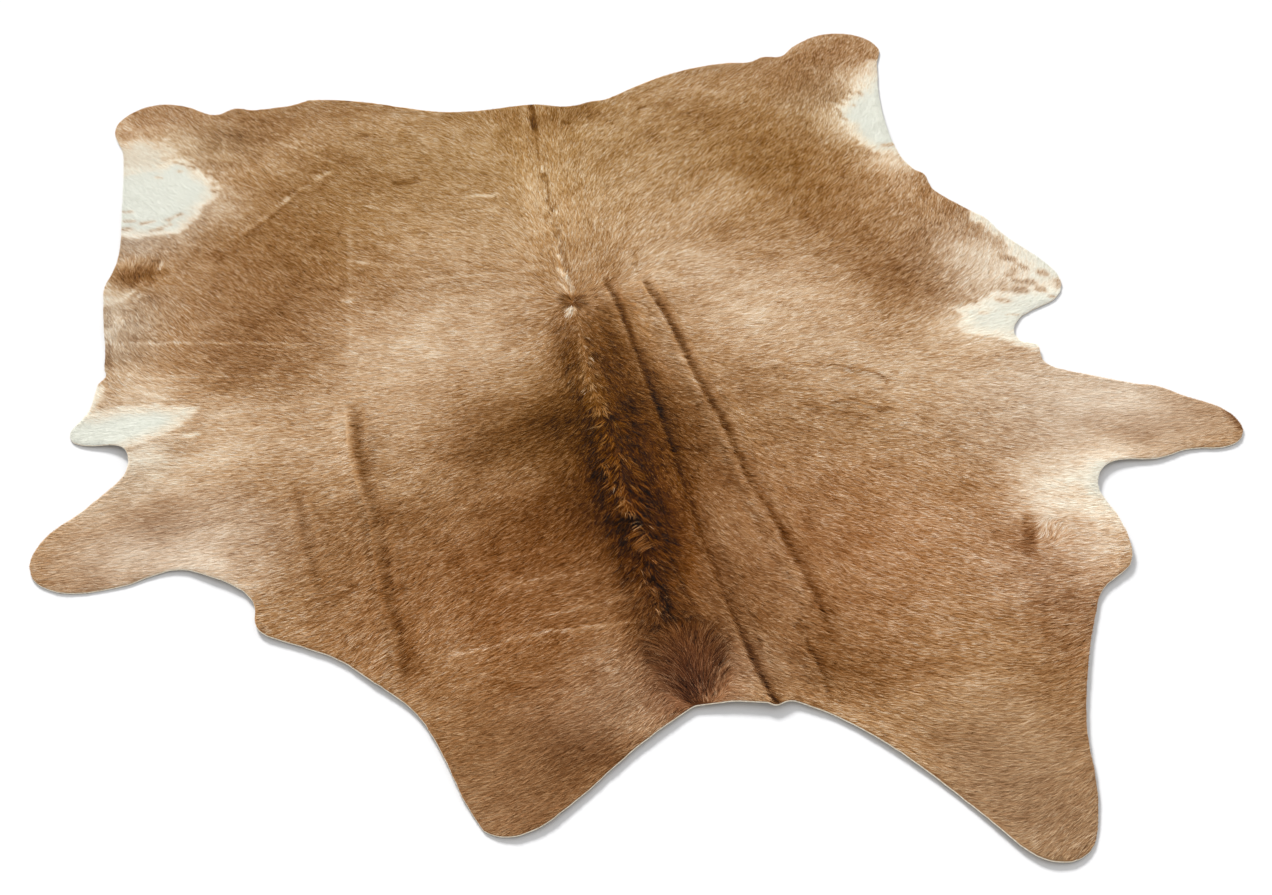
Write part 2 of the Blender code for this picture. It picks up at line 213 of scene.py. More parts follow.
CREASES = rows_of(Crease, [
    ("beside_the_spine", 0.0018, 0.0055, 0.015, (
        (0.022, 0.302, 20), (0.031, 0.24, 27), (0.034, 0.164, 25), (0.038, 0.047, 19),
        (0.04, -0.071, 19), (0.042, -0.207, 15), (0.042, -0.433, 11), (0.048, -0.59, 14),
        (0.054, -0.69, 25), (0.06, -0.75, 33), (0.065, -0.797, 38),
    )),
    ("right_shoulder", 0.002, 0.0055, 0.017, (
        (0.097, 0.285, 18), (0.108, 0.209, 26), (0.118, 0.137, 30), (0.124, 0.062, 27),
        (0.13, -0.035, 23), (0.138, -0.11, 23), (0.144, -0.15, 29), (0.15, -0.24, 16),
        (0.154, -0.319, 15), (0.164, -0.377, 19), (0.174, -0.438, 24), (0.174, -0.48, 16),
        (0.182, -0.53, 15), (0.187, -0.61, 13), (0.185, -0.69, 5),
    )),
    ("right_neck", 0.0012, 0.005, 0.014, (
        (0.141, -0.65, 8), (0.147, -0.701, 13), (0.153, -0.736, 15), (0.15, -0.8, 9),
    )),
    ("left_shoulder", 0.0012, 0.01, 0.036, (
        (-0.492, 0.02, 14), (-0.494, -0.03, 25), (-0.497, -0.11, 24), (-0.488, -0.19, 13),
        (-0.478, -0.26, 9), (-0.478, -0.37, 8), (-0.478, -0.461, 10), (-0.468, -0.54, 17),
        (-0.469, -0.6, 21), (-0.476, -0.635, 8),
    )),
    ("left_fore_shank", 0.001, 0.009, 0.024, (
        (-0.606, -0.17, 7), (-0.6, -0.29, 10), (-0.585, -0.42, 9),
    )),
    ("above_the_spine_crease", 0.0008, 0.003, 0.005, (
        (0.011, 0.64, 5), (0.026, 0.53, 8), (0.031, 0.43, 8), (0.034, 0.386, 4),
    )),
    ("right_shoulder_stub", 0.0015, 0.005, 0.008, (
        (0.101, 0.398, 13), (0.096, 0.365, 17), (0.091, 0.334, 12),
    )),
    ("across_the_back", 0.001, 0.0035, 0.006, (
        (0.04, -0.208, 15), (0.07, -0.214, 13), (0.107, -0.214, 8), (0.14, -0.2, 4),
    )),
    ("belly_squiggle_upper", 0.0012, 0.003, 0.0045, (
        (0.377, -0.04, 15), (0.405, -0.053, 25), (0.435, -0.068, 29), (0.457, -0.084, 26),
        (0.466, -0.104, 28), (0.455, -0.121, 21), (0.436, -0.126, 12),
    )),
    ("belly_squiggle_lower", 0.0012, 0.003, 0.0045, (
        (0.348, -0.142, 16), (0.383, -0.139, 25), (0.41, -0.157, 25), (0.441, -0.177, 29),
    )),
    ("tail_arc", 0.0012, 0.003, 0.0045, (
        (0.196, 0.89, 8), (0.226, 0.916, 15), (0.258, 0.928, 15), (0.3, 0.918, 8),
    )),
])
LONG_CREASES = CREASES[:5]
LIP_SHARE = 0.55  # how high the soft side rises, as a share of the sharp lip
LIP_PAINTED_HIGHLIGHT = 2  # tones of painted highlight on the sharp lip's hair
LIP_WIDTH = 1.6  # half width of the sharp lip, as a share of the crease's sharp side
FULL_LIP = 20  # tones of painted shade from which a crease has its full lips and full painted highlight
PAINTED_SHADE_PARTS = ((0.8, 0.45), (0.2, 1.4))  # parts of the painted shade, and their reach in soft sides
ROUTE_STEPS = 6
CREASE_REACH = 0.06
GAP_PITCH = 0.005
GAP_EASING = 2
RAY_START = -0.1


def beside(route, x, y):
    """Signed distance of points from a route, positive on its left, and its third value there."""
    nearest = np.full(np.shape(x), np.inf)
    across, value = np.zeros(np.shape(x)), np.zeros(np.shape(x))
    for (x0, y0, value0), (x1, y1, value1) in zip(route, route[1:]):
        run_x, run_y = x1 - x0, y1 - y0
        share = ((x - x0) * run_x + (y - y0) * run_y) / (run_x**2 + run_y**2)
        share = np.clip(share, 0, 1)
        gap_x, gap_y = x - x0 - share * run_x, y - y0 - share * run_y
        away = np.hypot(gap_x, gap_y)
        closer = away < nearest
        side = np.where(run_x * gap_y - run_y * gap_x < 0, -1, 1)
        across = np.where(closer, away * side, across)
        value = np.where(closer, value0 + share * (value1 - value0), value)
        nearest = np.minimum(nearest, away)
    return across, value


def read_gaps(node):
    """Height of the frame's underside on a square grid: rays sent up from below the floor."""
    tree = BVHTree.FromObject(node, bpy.context.evaluated_depsgraph_get())
    x = np.arange(plan_low[0], plan_high[0] + GAP_PITCH, GAP_PITCH)
    y = np.arange(plan_low[1], plan_high[1] + GAP_PITCH, GAP_PITCH)
    hits = [tree.ray_cast((u, v, RAY_START), (0, 0, 1))[0] for v in y for u in x]
    gaps = np.array([np.nan if hit is None else hit.z for hit in hits]).reshape(len(y), len(x))
    while np.isnan(gaps).any():  # past the edge a place takes the mean of its neighbours
        around = np.pad(gaps, 1, mode="constant", constant_values=np.nan)
        known = [around[:-2, 1:-1], around[2:, 1:-1], around[1:-1, :-2], around[1:-1, 2:]]
        found = ~np.isnan(known)
        total, count = np.where(found, known, 0).sum(axis=0), found.sum(axis=0)
        gaps = np.where(np.isnan(gaps) & (count > 0), total / np.maximum(count, 1), gaps)
    for _ in range(GAP_EASING):
        around = np.pad(gaps, 1, mode="edge")
        gaps = (around[:-2, 1:-1] + 2 * gaps + around[2:, 1:-1]) / 4
        around = np.pad(gaps, 1, mode="edge")
        gaps = (around[1:-1, :-2] + 2 * gaps + around[1:-1, 2:]) / 4
    return gaps


def press_creases():
    """Height of the skin's underside over the plan, and the painted shade and painted highlight of
    its creases: a lip is the square of the distance over its reach, cut down by a bell."""
    height = read_off(read_gaps(hide), grid_x, grid_y, GAP_PITCH)
    painted_shade = np.zeros(grid_x.shape)
    for crease in CREASES:
        route = eased_line(crease.route, ROUTE_STEPS, False)
        part = window(route[:, 0], route[:, 1], CREASE_REACH)
        across, depth = beside(route, grid_x[part], grid_y[part])
        sharp, soft = (across / (LIP_WIDTH * crease.sharp)) ** 2, (across / crease.soft) ** 2
        lips = np.where(across < 0, sharp * np.exp(1 - sharp), LIP_SHARE * soft * np.exp(1 - soft))
        strength = eased(depth, 0, FULL_LIP)
        height[part] += crease.lip * lips * strength
        fade = sum(share * np.exp(-soft / reach**2) for share, reach in PAINTED_SHADE_PARTS)
        dark = np.where(across < 0, np.exp(-((across / crease.sharp) ** 2)), fade)
        lip_highlight = LIP_PAINTED_HIGHLIGHT * strength * np.where(across < 0, sharp * np.exp(1 - sharp), 0)
        # painted highlight on the sharp lip, painted shade across the crease
        painted_shade[part] += lip_highlight - depth * dark
    return height, painted_shade


underside, crease_painted_shade = press_creases()


def lift(x, y):
    """Height of the skin's underside at any points."""
    return read_off(underside, x, y)


# How the hair lies: out from a whorl on the back and away from the spine. A row is a distance
# toward the rump, and its headings, in degrees from straight out, are those at LIE_COLUMNS from
# the spine, on the left and on the right. Above the whorl hair runs to the rump, below to the neck.
WHORL = (-0.052, 0.252)
WHORL_REACH = 0.075
SPINE = [
    (0.975, -0.012), (0.71, -0.031), (0.52, -0.045), (0.35, -0.056), (0.2, -0.055),
    (0.04, -0.062), (-0.365, -0.06), (-0.58, -0.054), (-0.78, -0.05),
]
LIE_COLUMNS = (0.02, 0.12, 0.25, 0.45, 0.65, 0.90)
LIE_ROWS = [
    (1.05, (88, 50, 25, 30, 48, 55), (88, 50, 27, 27, 54, 56)),
    (0.85, (88, 51, 20, 42, 60, 48), (88, 46, 24, 30, 64, 66)),
    (0.65, (86, 36, 24, 35, 50, 40), (88, 52, 39, 40, 40, 48)),
    (0.45, (82, 22, 24, 42, 44, 60), (80, 56, 38, 32, 46, 66)),
    (0.32, (66, 10, 22, 34, 44, 76), (66, 34, -6, 2, 28, 70)),
    (0.20, (-57, -6, 0, 22, 20, 70), (-66, -40, -2, -2, 22, 66)),
    (0.05, (-60, -8, -8, 6, 8, 4), (-74, -50, -12, -4, 18, 26)),
    (-0.15, (-60, -36, -24, -12, -6, -2), (-78, -58, -44, -25, -30, -12)),
    (-0.35, (-56, -45, -37, -35, -10, -5), (-76, -62, -50, -42, -36, -6)),
    (-0.55, (-50, -20, -26, -46, -10, 0), (-66, -52, -58, -42, -34, 0)),
    (-0.75, (-40, -24, -18, -6, 0, 0), (-50, -50, -40, -24, 2, 0)),
    (-0.95, (-40, -34, -22, 0, 8, 8), (-40, -46, -46, -6, 20, 20)),
    (-1.15, (-40, -20, 0, 30, 34, 34), (-50, -55, -52, 36, 38, 38)),
]
Swirl = namedtuple("Swirl", "name x y reach turn")
SWIRLS = rows_of(Swirl, [
    ("right_shoulder_swirl", 0.604, -0.532, 0.048, 100),
    ("left_flank_cowlick", -0.86, 0.53, 0.06, -60),
])
FAN = (-0.040, -0.685, 0.062, 0.100)  # place and half widths of the fan at the neck
FAN_WAY = 94  # degrees from +X that the hair in its middle points
FAN_SPLAY = 60  # degrees that its hair leans out at its rim
FAN_EASE = 0.3
TINY = 1e-6
LIE_UNEVENNESS = [(0.060, 9, 21), (0.019, 4, 22)]  # size of a lock, degrees it strays, seed


def spine_x(y):
    """How far toward the right flank the spine lies, at distances toward the rump."""
    return np.interp(y, *zip(*sorted(SPINE)))


def lie_of(side, x, y):
    """Headings from one side's table, in degrees from straight out, at points of that side."""
    rows = sorted(LIE_ROWS)
    heights = [row[0] for row in rows]
    columns = [np.interp(y, heights, turns) for turns in zip(*(row[side] for row in rows))]
    out = np.abs(x - spine_x(y))
    turn = columns[0]
    for k in range(1, len(columns)):
        step = np.clip((out - LIE_COLUMNS[k - 1]) / (LIE_COLUMNS[k] - LIE_COLUMNS[k - 1]), 0, 1)
        turn = turn + (columns[k] - columns[k - 1]) * step
    return turn


def lay_hair(x, y):
    """Which way the hair points over the plan, as the two parts of a step along it: out from the
    whorl and the spine, but up and outward in the fan at the neck."""
    turn = np.radians(np.where(x < spine_x(y), 180 - lie_of(1, x, y), lie_of(2, x, y)))
    away_x, away_y = x - WHORL[0], y - WHORL[1]
    from_whorl = np.hypot(away_x, away_y) + TINY
    close = np.clip(1 - (from_whorl / WHORL_REACH) ** 2, 0, 1)
    step_x = (1 - close) * np.cos(turn) + close * away_x / from_whorl
    step_y = (1 - close) * np.sin(turn) + close * away_y / from_whorl
    across, up = (x - FAN[0]) / FAN[2], (y - FAN[1]) / FAN[3]
    in_fan = eased(1 - across**2 - up**2, 0, FAN_EASE)
    rays = np.radians(FAN_WAY - FAN_SPLAY * np.clip(across, -1, 1))
    step_x = (1 - in_fan) * step_x + in_fan * np.cos(rays)
    step_y = (1 - in_fan) * step_y + in_fan * np.sin(rays)
    turn = np.degrees(np.arctan2(step_y, step_x))
    for swirl in SWIRLS:
        away = np.hypot(x - swirl.x, y - swirl.y) / swirl.reach
        turn = turn + swirl.turn * np.clip(1 - away * away, 0, 1) ** 2
    for size, stray, seed in LIE_UNEVENNESS:
        turn = turn + stray * soft_noise(x, y, size, seed)
    return np.cos(np.radians(turn)), np.sin(np.radians(turn))


lay_x, lay_y = lay_hair(grid_x, grid_y)


def heading(x, y):
    """Which way the hair points at any points, in radians from +X."""
    return np.arctan2(read_off(lay_y, x, y), read_off(lay_x, x, y))


# The markings. Tone is lightness from 0, black, to 100, white, and a hide keeps to one row of
# colours from its dark to its light hair, so a mark makes the coat lighter or darker.
MIDDLE_TONE = 61
Patch = namedtuple("Patch", "name x y half_x half_y change turn", defaults=[0])
PATCHES = rows_of(Patch, [
    ("left_flank_band", -0.6, 0.48, 0.23, 0.46, -13, 4),
    ("left_flank_core", -0.68, 0.24, 0.15, 0.18, -7),
    ("left_rump_streak", -0.52, 0.76, 0.17, 0.15, -3),
    ("left_rump_low", -0.41, 0.78, 0.12, 0.2, -5),
    ("left_rump_side", -0.6, 0.82, 0.08, 0.08, 7),
    ("left_of_the_whorl", -0.4, 0.42, 0.09, 0.09, -3),
    ("whorl_left", -0.23, 0.3, 0.15, 0.08, 8),
    ("left_hind_root", -0.64, 1.0, 0.12, 0.11, -12, 35),
    ("rump_left", -0.24, 0.87, 0.26, 0.15, 4),
    ("rump_left_edge", -0.31, 1.0, 0.12, 0.08, 7),
    ("tail_smudge", 0.06, 0.92, 0.14, 0.09, -11),
    ("tail_left", -0.08, 0.92, 0.08, 0.07, -7),
    ("right_rump", 0.34, 0.84, 0.28, 0.17, -8),
    ("right_flank_band", 0.5, 0.52, 0.19, 0.42, -12, 10),
    ("right_flank_core", 0.6, 0.19, 0.13, 0.15, -10),
    ("right_hind_root", 0.58, 0.96, 0.16, 0.13, -13),
    ("right_hind_streak", 0.69, 1.07, 0.09, 0.11, -8, -45),
    ("left_back", -0.23, 0.45, 0.23, 0.29, 6),
    ("right_of_the_whorl", 0.09, 0.3, 0.07, 0.07, 8),
    ("tail_line_glow", -0.03, 0.6, 0.08, 0.22, 2),
    ("right_of_tail_line", 0.15, 0.46, 0.16, 0.25, 7),
    ("right_back", 0.3, 0.54, 0.13, 0.13, 6),
    ("left_belly", -0.35, 0.16, 0.3, 0.2, 19, -8),
    ("left_belly_low", -0.43, -0.06, 0.2, 0.2, 15),
    ("left_belly_dip", -0.3, 0.2, 0.07, 0.06, -7),
    ("left_belly_tail", -0.43, -0.2, 0.11, 0.08, 9),
    ("right_belly", 0.31, 0.15, 0.27, 0.26, 16),
    ("right_belly_low", 0.45, -0.04, 0.24, 0.15, 7),
    ("right_upper_belly", 0.2, 0.33, 0.16, 0.13, 5),
    ("left_fore_shank", -0.88, -0.17, 0.3, 0.2, 15),
    ("left_fore_shank_band", -0.85, -0.2, 0.15, 0.07, -14),
    ("left_shoulder_pale", -0.72, -0.01, 0.29, 0.17, 17),
    ("left_armpit", -0.75, -0.33, 0.14, 0.12, 19),
    ("right_fore_shank", 0.83, -0.24, 0.33, 0.26, 20),
    ("right_fore_shank_band", 0.84, -0.31, 0.15, 0.07, -11, -5),
    ("right_shoulder_pale", 0.56, -0.08, 0.26, 0.25, 9),
    ("right_armpit", 0.73, -0.47, 0.2, 0.2, 25),
    ("right_armpit_left", 0.62, -0.42, 0.11, 0.11, 16),
    ("right_armpit_low", 0.66, -0.6, 0.11, 0.08, 12),
    ("right_armpit_foot", 0.6, -0.71, 0.07, 0.07, -8),
    ("right_shank_root", 0.71, -0.21, 0.09, 0.08, -5),
    ("right_shank_end", 0.96, -0.29, 0.09, 0.09, -5),
    # painted shade of the hollow on the swirl's left
    ("swirl_hollow_painted_shade", 0.545, -0.532, 0.05, 0.05, -10),
    ("right_neck_pale", 0.42, -0.56, 0.22, 0.22, 2),
    ("left_neck", -0.33, -0.45, 0.42, 0.62, -15),
    ("left_neck_glow", -0.42, -0.6, 0.18, 0.17, 9),
    ("left_neck_low", -0.3, -0.71, 0.09, 0.07, 5),
    ("left_shank_root", -0.86, -0.31, 0.11, 0.08, 8),
    ("left_withers", -0.23, -0.1, 0.19, 0.15, -17),
    ("left_withers_side", -0.55, -0.16, 0.13, 0.12, 6),
    ("left_withers_low", -0.21, -0.35, 0.15, 0.15, -11),
    ("left_neck_lobe", -0.3, -0.87, 0.22, 0.2, -13),
    ("right_neck", 0.17, -0.42, 0.23, 0.56, -8, 6),
    ("right_neck_lobe", 0.36, -1.0, 0.22, 0.24, -8),
    ("right_neck_middle", 0.27, -0.76, 0.12, 0.11, -6),
    ("left_neck_foot", -0.19, -0.83, 0.12, 0.09, -9),
    ("right_neck_edge", 0.53, -0.84, 0.13, 0.22, -14),
    ("right_of_the_fan", 0.15, -0.73, 0.13, 0.13, -14),
    ("right_of_the_spine_low", 0.08, -0.56, 0.085, 0.17, -12),
    ("left_of_the_fan", -0.1, -0.6, 0.06, 0.08, -9),
    ("between_the_creases_right", 0.2, -0.1, 0.06, 0.06, -6),
    ("between_the_creases", 0.1, -0.2, 0.07, 0.26, -11),
    ("right_of_the_spine", 0.04, -0.06, 0.11, 0.24, -14),
    ("spine_shadow_top", -0.02, 0.13, 0.12, 0.19, -16),
    ("spine_shadow", -0.06, -0.17, 0.19, 0.4, -36),
    ("spine_dark", -0.035, -0.47, 0.14, 0.38, -23),
    ("fan_shade", -0.04, -0.69, 0.12, 0.15, -23),
    ("left_groin_cream", -0.87, 0.95, 0.19, 0.15, 22),
    ("left_groin_foot", -0.83, 0.62, 0.16, 0.08, 9),
    ("left_groin_rim", -0.71, 0.74, 0.08, 0.15, 14),
    ("left_hind_tip", -0.91, 1.09, 0.09, 0.05, 10),
    ("right_groin_cream", 0.76, 0.9, 0.12, 0.12, 21, -14),
    ("right_groin_rim", 0.63, 0.76, 0.08, 0.13, 18),
    ("right_groin_side", 0.7, 0.72, 0.08, 0.2, 5),
    ("right_groin_foot", 0.71, 0.59, 0.09, 0.07, 20),
    ("left_edge", -0.92, 0.42, 0.07, 0.22, 17),
    ("left_flap_fade", -0.87, 0.15, 0.15, 0.13, 20),
    ("left_flap_foot", -0.88, -0.03, 0.11, 0.08, 15),
    ("right_flap_fade", 0.8, 0.17, 0.16, 0.22, 23, 27),
    ("right_flap_low", 0.7, 0.02, 0.18, 0.11, 18),
    ("right_flap_root", 0.69, 0.3, 0.07, 0.07, -8),
    ("left_flank_dark", -0.885, 0.512, 0.078, 0.054, -31, 14),
    ("left_of_the_spine_low", -0.11, -0.4, 0.06, 0.06, 7),
    ("left_flap_sliver_shade", -0.78, -0.02, 0.07, 0.04, -9),
])
White = namedtuple("White", "name tone thin soft ragged outline")
WHITES = rows_of(White, [
    ("left_groin_cream", 83, 0.45, 0.018, 0.022, (
        (-0.96, 1.02), (-0.895, 1.016), (-0.848, 1.006), (-0.822, 0.985), (-0.8, 0.95),
        (-0.786, 0.9), (-0.85, 0.82), (-0.96, 0.82),
    )),
    ("left_groin", 89, 0.9, 0.003, 0.008, (
        (-0.96, 0.645), (-0.9, 0.637), (-0.829, 0.632), (-0.796, 0.634), (-0.764, 0.657),
        (-0.742, 0.699), (-0.721, 0.733), (-0.706, 0.77), (-0.704, 0.8), (-0.718, 0.828),
        (-0.738, 0.857), (-0.752, 0.885), (-0.776, 0.916), (-0.8, 0.926), (-0.84, 0.905),
        (-0.89, 0.905), (-0.96, 0.91),
    )),
    ("right_groin_cream", 86, 0.3, 0.012, 0.014, (
        (0.715, 0.9), (0.728, 0.935), (0.752, 0.975), (0.785, 1.005), (0.84, 1.02), (0.84, 0.86),
        (0.73, 0.86),
    )),
    ("right_groin", 89, 0.9, 0.003, 0.008, (
        (0.742, 0.925), (0.722, 0.9), (0.7, 0.88), (0.678, 0.86), (0.646, 0.826), (0.638, 0.795),
        (0.642, 0.765), (0.648, 0.717), (0.66, 0.667), (0.687, 0.628), (0.726, 0.612), (0.78, 0.6),
        (0.82, 0.7), (0.82, 0.93), (0.78, 0.94),
    )),
    ("left_flap", 90, 0.9, 0.004, 0.005, (
        (-1.01, 0.1), (-0.953, 0.107), (-0.913, 0.112), (-0.866, 0.112), (-0.825, 0.101),
        (-0.762, 0.082), (-0.77, 0.066), (-0.786, 0.048), (-0.806, 0.026), (-0.832, 0.005),
        (-0.858, -0.006), (-0.884, -0.015), (-0.95, -0.03), (-1.02, 0.03),
    )),
    ("right_flap_edge", 92, 0.5, 0.003, 0.01, (
        (0.78, 0.352), (0.802, 0.322), (0.82, 0.29), (0.836, 0.246), (0.822, 0.214), (0.834, 0.17),
        (0.806, 0.137), (0.812, 0.112), (0.87, 0.105), (0.94, 0.09), (0.94, 0.2), (0.88, 0.29),
        (0.84, 0.35), (0.805, 0.38),
    )),
    ("right_flap_band", 95, 0.6, 0.003, 0.01, (
        (0.647, 0.088), (0.7, 0.084), (0.741, 0.1), (0.79, 0.114), (0.86, 0.11), (0.93, 0.08),
        (0.9, 0.03), (0.82, -0.01), (0.79, -0.075), (0.743, -0.062), (0.722, -0.034),
        (0.674, -0.013), (0.649, 0.008), (0.646, 0.035), (0.662, 0.055),
    )),
    ("right_notch", 91, 0.5, 0.03, 0.012, (
        (0.69, -0.4), (0.73, -0.378), (0.8, -0.385), (0.8, -0.52), (0.74, -0.545), (0.712, -0.52),
        (0.697, -0.495), (0.684, -0.46),
    )),
    ("left_notch", 80, 0.0, 0.03, 0.014, (
        (-0.82, -0.3), (-0.77, -0.325), (-0.72, -0.37), (-0.69, -0.43), (-0.74, -0.46),
        (-0.83, -0.38),
    )),
])
Fleck = namedtuple("Fleck", "x0 y0 x1 y1 half tone")
FLECKS = rows_of(Fleck, [
    # left groin
    (-0.9, 0.733, -0.884, 0.735, 0.0055, 70), (-0.893, 0.698, -0.88, 0.699, 0.006, 73),
    (-0.862, 0.688, -0.838, 0.69, 0.0045, 70), (-0.808, 0.688, -0.785, 0.702, 0.005, 66),
    (-0.828, 0.662, -0.805, 0.668, 0.005, 71), (-0.897, 0.666, -0.885, 0.668, 0.007, 73),
    (-0.842, 0.655, -0.825, 0.657, 0.005, 73),
    # left groin rim
    (-0.781, 0.896, -0.773, 0.893, 0.0042, 70), (-0.763, 0.88, -0.752, 0.874, 0.006, 68),
    (-0.795, 0.907, -0.787, 0.905, 0.0042, 72), (-0.786, 0.87, -0.781, 0.868, 0.004, 75),
    (-0.73, 0.838, -0.718, 0.836, 0.0046, 70), (-0.716, 0.8, -0.712, 0.794, 0.005, 67),
    (-0.72, 0.776, -0.715, 0.772, 0.006, 67),
    (-0.835, 0.855, -0.823, 0.854, 0.004, 80),  # left groin tan
    # left groin tick
    (-0.8, 0.957, -0.79, 0.952, 0.004, 87), (-0.815, 1.006, -0.806, 1.0, 0.004, 85),
    (-0.758, 0.912, -0.75, 0.908, 0.004, 87), (-0.722, 0.858, -0.716, 0.856, 0.0035, 87),
    (-0.698, 0.843, -0.692, 0.841, 0.003, 85), (-0.712, 0.812, -0.702, 0.784, 0.0028, 87),
    # right groin
    (0.718, 0.88, 0.722, 0.868, 0.005, 70), (0.701, 0.884, 0.702, 0.874, 0.0045, 68),
    (0.685, 0.864, 0.689, 0.855, 0.0045, 68), (0.669, 0.846, 0.669, 0.838, 0.0045, 68),
    (0.694, 0.829, 0.695, 0.826, 0.005, 78), (0.65, 0.82, 0.654, 0.806, 0.005, 66),
    (0.648, 0.795, 0.651, 0.789, 0.005, 66), (0.655, 0.778, 0.658, 0.774, 0.005, 73),
    (0.707, 0.652, 0.724, 0.648, 0.006, 75),
    (0.73, 0.915, 0.738, 0.908, 0.006, 88),  # right groin tick
    (0.812, 0.212, 0.826, 0.206, 0.01, 66),  # right flap break
    # right flap
    (0.866, 0.152, 0.869, 0.147, 0.0095, 68), (0.826, 0.126, 0.834, 0.123, 0.0105, 67),
    (0.842, 0.099, 0.848, 0.096, 0.0085, 68), (0.798, 0.107, 0.812, 0.105, 0.0095, 66),
    (0.884, 0.118, 0.887, 0.112, 0.0085, 74), (0.854, 0.075, 0.86, 0.074, 0.006, 70),
    (0.752, 0.083, 0.768, 0.08, 0.007, 73), (0.752, 0.038, 0.775, 0.033, 0.0028, 80),
    (0.706, 0.052, 0.716, 0.05, 0.005, 80), (0.8, 0.16, 0.812, 0.168, 0.008, 70),
    (0.832, 0.182, 0.84, 0.17, 0.0075, 68), (0.806, 0.14, 0.814, 0.128, 0.007, 69),
    (0.768, 0.118, 0.786, 0.112, 0.006, 70),
    # right flap pale
    (0.78, 0.222, 0.8, 0.214, 0.0035, 86), (0.796, 0.19, 0.816, 0.182, 0.004, 86),
    (-0.788, 0.004, -0.77, 0.009, 0.0075, 95),  # left flap sliver
    (-0.962, 0.116, -0.944, 0.16, 0.017, 92),  # left flap corner
    # left flap streak
    (-0.895, 0.164, -0.87, 0.158, 0.0035, 84), (-0.895, 0.146, -0.88, 0.158, 0.003, 82),
    (-0.826, 0.118, -0.806, 0.112, 0.0035, 84),
    # left flank tick
    (-0.912, 0.432, -0.882, 0.452, 0.0055, 88), (-0.872, 0.432, -0.866, 0.446, 0.0035, 84),
    (-0.895, 0.408, -0.882, 0.408, 0.005, 78), (-0.885, 0.201, -0.879, 0.201, 0.004, 84),
    (-0.925, 0.335, -0.905, 0.345, 0.003, 82), (-0.928, 0.318, -0.91, 0.322, 0.003, 80),
    # left edge bar
    (-0.945, 0.482, -0.924, 0.482, 0.0028, 88), (-0.945, 0.462, -0.922, 0.461, 0.0028, 88),
    (-0.945, 0.441, -0.922, 0.441, 0.003, 88), (-0.945, 0.421, -0.92, 0.423, 0.0028, 86),
    (-0.846, 0.552, -0.83, 0.548, 0.0045, 30),  # left flank crescent
    (-0.826, 0.52, -0.822, 0.544, 0.0035, 80),  # left flank crescent rim
    # tail tick
    (-0.0315, 0.73, -0.0315, 0.705, 0.0028, 84), (-0.038, 0.672, -0.04, 0.648, 0.0018, 76),
    (-0.042, 0.622, -0.043, 0.596, 0.0028, 83), (-0.045, 0.535, -0.047, 0.512, 0.003, 86),
    (-0.048, 0.462, -0.046, 0.44, 0.0018, 76), (-0.054, 0.404, -0.05, 0.378, 0.0034, 87),
    (-0.06, 0.36, -0.05, 0.318, 0.003, 85), (-0.068, 0.315, -0.056, 0.282, 0.0034, 84),
    (-0.044, 0.266, -0.05, 0.242, 0.0065, 27),  # whorl core
    # whorl pale
    (-0.05, 0.256, -0.053, 0.248, 0.0025, 88), (-0.058, 0.228, -0.072, 0.209, 0.0055, 90),
    # golden line
    (-0.051, 0.175, -0.06, 0.098, 0.006, 50), (-0.06, 0.098, -0.063, 0.03, 0.006, 48),
    (-0.07, 0.03, -0.07, -0.045, 0.013, 44), (-0.066, -0.278, -0.064, -0.334, 0.005, 40),
    (-0.048, -0.09, -0.046, -0.108, 0.01, 22),  # spine dark spot
    # spine dark line
    (-0.054, -0.225, -0.056, -0.345, 0.006, 22), (-0.062, -0.455, -0.056, -0.528, 0.0085, 12),
    (-0.056, -0.528, -0.051, -0.585, 0.0075, 12),
    (-0.062, -0.735, -0.052, -0.76, 0.011, 22),  # fan core
    (-0.06, -0.352, -0.056, -0.38, 0.011, 8),  # spine black
    (1.04, -0.3, 1.045, -0.36, 0.012, 42),  # shank tip
])
Mark = namedtuple("Mark", "x0 y0 x1 y1 half change")
